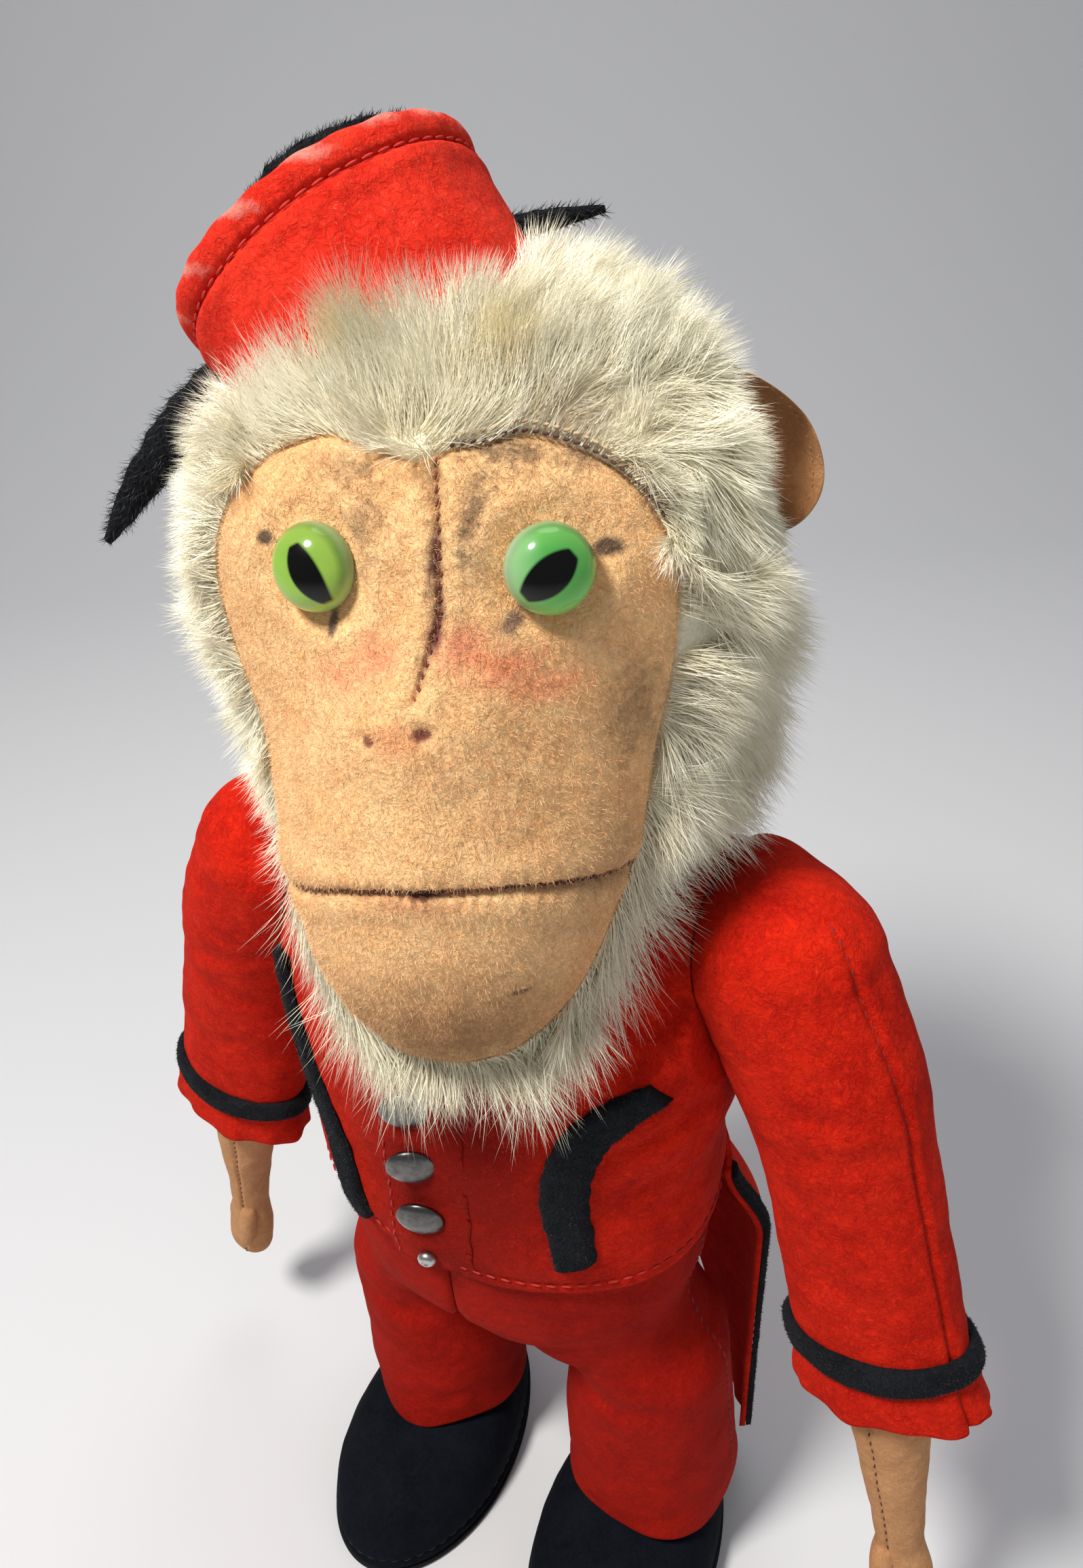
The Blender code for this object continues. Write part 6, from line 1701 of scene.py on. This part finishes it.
def makeHair():
    around, rings = 240, 120
    pole = wayOf(*headSettings["hoodMiddle"])
    ways = polarWays(faceEdge(0.1, around), pole, rings)
    points = liftNeck(headPoints(ways, 0.1))
    normals = headNormals(points)
    flat, normal = points.reshape(-1, 3), normals.reshape(-1, 3)
    rows = np.repeat(np.arange(rings), around) / rings
    x, y, z = flat[:, 0], flat[:, 1], flat[:, 2]

    # comb: out from the face's edge, then down the sides and back over the crown
    firstAway = unit(np.tile(points[3] - points[0], (rings, 1)), 1e-9)
    nearEdge = np.exp(-rows / 0.10)[:, None]
    down = np.stack([0.25 * np.sign(x) * np.abs(x / 40) ** 0.5, np.full(len(x), 0.12), -np.ones(len(x))], axis=1)
    overTop = np.stack([x / 40 * 0.9 + 0.15, 0.9 - 0.3 * (y / 30), 0.1 * np.ones(len(x))], axis=1)
    crown = smoothStep(262, 276, z)[:, None]
    lay = down * (1 - crown) + overTop * crown
    lay = unit(lay - normal * np.sum(lay * normal, axis=1)[:, None], 1e-9)
    drift = lambda size, seed: np.stack([lumps(flat, size, seed + k) for k in (0, 30, 60)], axis=1)
    bend = drift(9.0, 1.0) * 1.3 + drift(3.6, 11.0) * 1.1
    bend -= normal * np.sum(bend * normal, axis=1)[:, None]
    outward = nearEdge * (0.22 + 0.55 * smoothStep(222, 236, z))[:, None]
    hang = 1 + 1.1 * smoothStep(226, 208, z)[:, None]
    comb = unit(normal * (0.34 + 0.12 * nearEdge) + lay * hang * (1 - 0.7 * outward) + firstAway * outward + bend)

    # length: short on the crown, long at the cheeks and under the chin
    pile = 8.4 + 1.6 * smoothStep(258, 236, z) + 3.4 * smoothStep(218, 196, z) * (y < 0) - 1.4 * smoothStep(272, 284, z)
    pile *= 1 + 0.4 * lumps(flat, 6.0, 90.0)
    pile *= 1 - 0.42 * smoothStep(-12, -28, x) * smoothStep(272, 262, z) * smoothStep(203, 215, z)
    for ear in (1, -1):
        root = headPoints(wayOf(earSettings["turn"], earSettings["lift"][ear])[None, :])[0] * (ear, 1, 1)
        pile *= 1 - 0.7 * smoothStep(22, 11, np.linalg.norm(flat - root, axis=1))
    pile *= 1 - 0.35 * np.exp(-rows / 0.015)
    # worn thin above the brow, on the figure's left
    bald = np.exp(-(((x - 17) / 14) ** 2 + ((z - 269.5) / 4.0) ** 2)) * (y < 0)
    worn = np.exp(-(((x + 17) / 8) ** 2 + ((z - 281) / 6) ** 2)) * (y < 20)
    density = 1 - 0.85 * bald - 0.35 * worn
    pile *= 1 - 0.7 * bald
    # none under the hat, and none on the neck's seat
    m = np.linalg.inv(hatFrame())
    local = flat @ m[:3, :3].T + m[:3, 3]
    underHat = (np.hypot(local[:, 0], local[:, 1]) < hatSettings["baseR"] - 0.3) & (local[:, 2] < 0)
    density = np.where(underHat & (z > 240), 0.0, density)
    neckSeat = (flat[:, 2] <= neckLimit(flat) + 0.3) & (np.hypot(x, y) < 30)
    density = np.where(neckSeat, 0.0, density)

    # two soft peaks over the brow, then locks: neighbouring strands lean to one tip
    for peak, wide, tip in hairPeaks:
        share = (np.exp(-(np.linalg.norm(flat - np.array(peak), axis=1) / wide) ** 2) * 0.8)[:, None]
        toPeak = unit(np.array(peak) + np.array(tip) - flat)
        comb = unit(comb * (1 - share) + toPeak * share)
        pile += 5.0 * share[:, 0]
    picks = np.random.default_rng(7).choice(len(flat), 2600, replace=False)
    tree = KDTree(len(picks))
    for k, pick in enumerate(picks):
        tree.insert(flat[pick], k)
    tree.balance()
    nearest = picks[[tree.find(point)[1] for point in flat]]
    tips = flat[nearest] + comb[nearest] * pile[nearest][:, None]
    comb = comb * 0.35 + unit(tips - flat) * 0.65
    rise = np.sum(comb * normal, axis=1)
    comb = unit(comb + normal * np.clip(0.16 - rise, 0, None)[:, None])
    placed = inHead(flat)
    aim = (inHead(flat + comb) - placed) / milli
    quads = ringFaces(rings, around)
    middles = flat[np.array(quads)].mean(axis=1)
    top = middles[:, 2] > 266
    back = ~top & (middles[:, 1] > 14)
    beard = ~top & ~back & (middles[:, 2] < 218)
    side = ~top & ~back & ~beard
    parts = {"top": top, "back": back, "beard": beard, "left": side & (middles[:, 0] > 0),
             "right": side & (middles[:, 0] <= 0)}
    for word, chosen in parts.items():
        faces = [quads[k] for k in np.nonzero(chosen)[0]]
        used = sorted({v for face in faces for v in face})
        renumber = {v: k for k, v in enumerate(used)}
        faces = [tuple(renumber[v] for v in face) for face in faces]
        hairOver("mohair" + word.title(), placed[used], faces, aim[used], pile[used] * milli, density[used],
                 hairSettings[word], "head", finishes["hair"])


makeHeadCore()
makeFace()
makeBrowEdge()
for side in (1, -1):
    makeEye(side)
    makeEar(side)
makeHat()
makeBow()
makeHair()
print("head made")


# Floor, backdrop, lamps and camera

stageSettings = {"floor": (0.78, 0.78, 0.80), "sky": 0.22, "back": (0.76, 0.77, 0.80)}


def makeStage():
    # a floor that curves up into a plain backdrop
    verts, faces = [], []
    profile = [(-1.5, 0.0)] + [(0.55 + 0.5 * math.sin(a), 0.5 - 0.5 * math.cos(a))
                               for a in np.linspace(0, 0.5 * math.pi, 24)] + [(1.05, 2.4)]
    turn = Matrix.Rotation(math.radians(30), 3, "Z")
    for y, z in profile:
        for x in (-2.5, 2.5):
            verts.append(turn @ Vector((x, y, z - 0.0003)))
    for k in range(len(profile) - 1):
        faces.append((2 * k, 2 * k + 1, 2 * k + 3, 2 * k + 2))
    made, tree, shader, place = startMaterial("stagePaper")
    paper = mixColour(tree, grain(tree, place, 3.0, 3.0), stageSettings["floor"], stageSettings["back"])
    tree.links.new(paper, shader.inputs["Base Color"])
    dress(shader, {"Roughness": 0.8})
    floor = makeMesh("stageFloor", verts, faces, made)
    lamps = (
        ("keyLamp", (-0.14, -0.30, 0.78), (0.0, 0.0, 0.22), 0.16, 5.7, (1.0, 0.97, 0.91)),
        ("fillLamp", (0.75, -0.25, 0.50), (0.0, 0.0, 0.16), 0.60, 0.7, (0.94, 0.97, 1.0)),
        ("topLamp", (-0.10, 0.30, 0.90), (0.0, 0.0, 0.2), 0.45, 1.3, (1.0, 1.0, 1.0)),
    )
    for name, place, aim, size, power, tint in lamps:
        light = bpy.data.lights.new(name, "AREA")
        light.shape = "DISK"
        light.size = size
        light.energy = power
        light.color = tint
        lamp = linked(name, light)
        lamp.location = place
        lamp.visible_glossy = name != "fillLamp"
        lamp.rotation_euler = (Vector(aim) - Vector(place)).to_track_quat("-Z", "Y").to_euler()
    world = bpy.data.worlds.new("studio")
    world.use_nodes = True
    bpy.context.scene.world = world
    background = world.node_tree.nodes["Background"]
    background.inputs["Color"].default_value = (0.92, 0.95, 1.0, 1.0)
    background.inputs["Strength"].default_value = stageSettings["sky"]


cameraSettings = {"place": (0.0874, -0.1327, 0.3114), "yaw": 30.1, "pitch": 33.9, "roll": -3.6, "lens": 27.04}


def makeCamera():
    yaw, pitch, roll = (math.radians(cameraSettings[k]) for k in ("yaw", "pitch", "roll"))
    level = np.array((-math.sin(yaw), math.cos(yaw), 0.0))
    forward = level * math.cos(pitch) + np.array((0, 0, -1.0)) * math.sin(pitch)
    flatRight = np.array((math.cos(yaw), math.sin(yaw), 0.0))
    flatUp = np.cross(flatRight, forward)
    right = flatRight * math.cos(roll) + flatUp * math.sin(roll)
    up = -flatRight * math.sin(roll) + flatUp * math.cos(roll)
    view = bpy.data.cameras.new("photoView")
    view.sensor_fit = "VERTICAL"
    view.sensor_height = 36.0
    view.lens = cameraSettings["lens"]
    view.clip_start = 0.005
    view.dof.use_dof = False
    camera = linked("photoView", view)
    columns = np.stack([right, up, -forward], axis=1)
    camera.matrix_world = Matrix([[*columns[r], cameraSettings["place"][r]] for r in range(3)] + [[0, 0, 0, 1]])
    bpy.context.scene.camera = camera


makeStage()
makeCamera()
bpy.context.scene.view_settings.view_transform = "Standard"
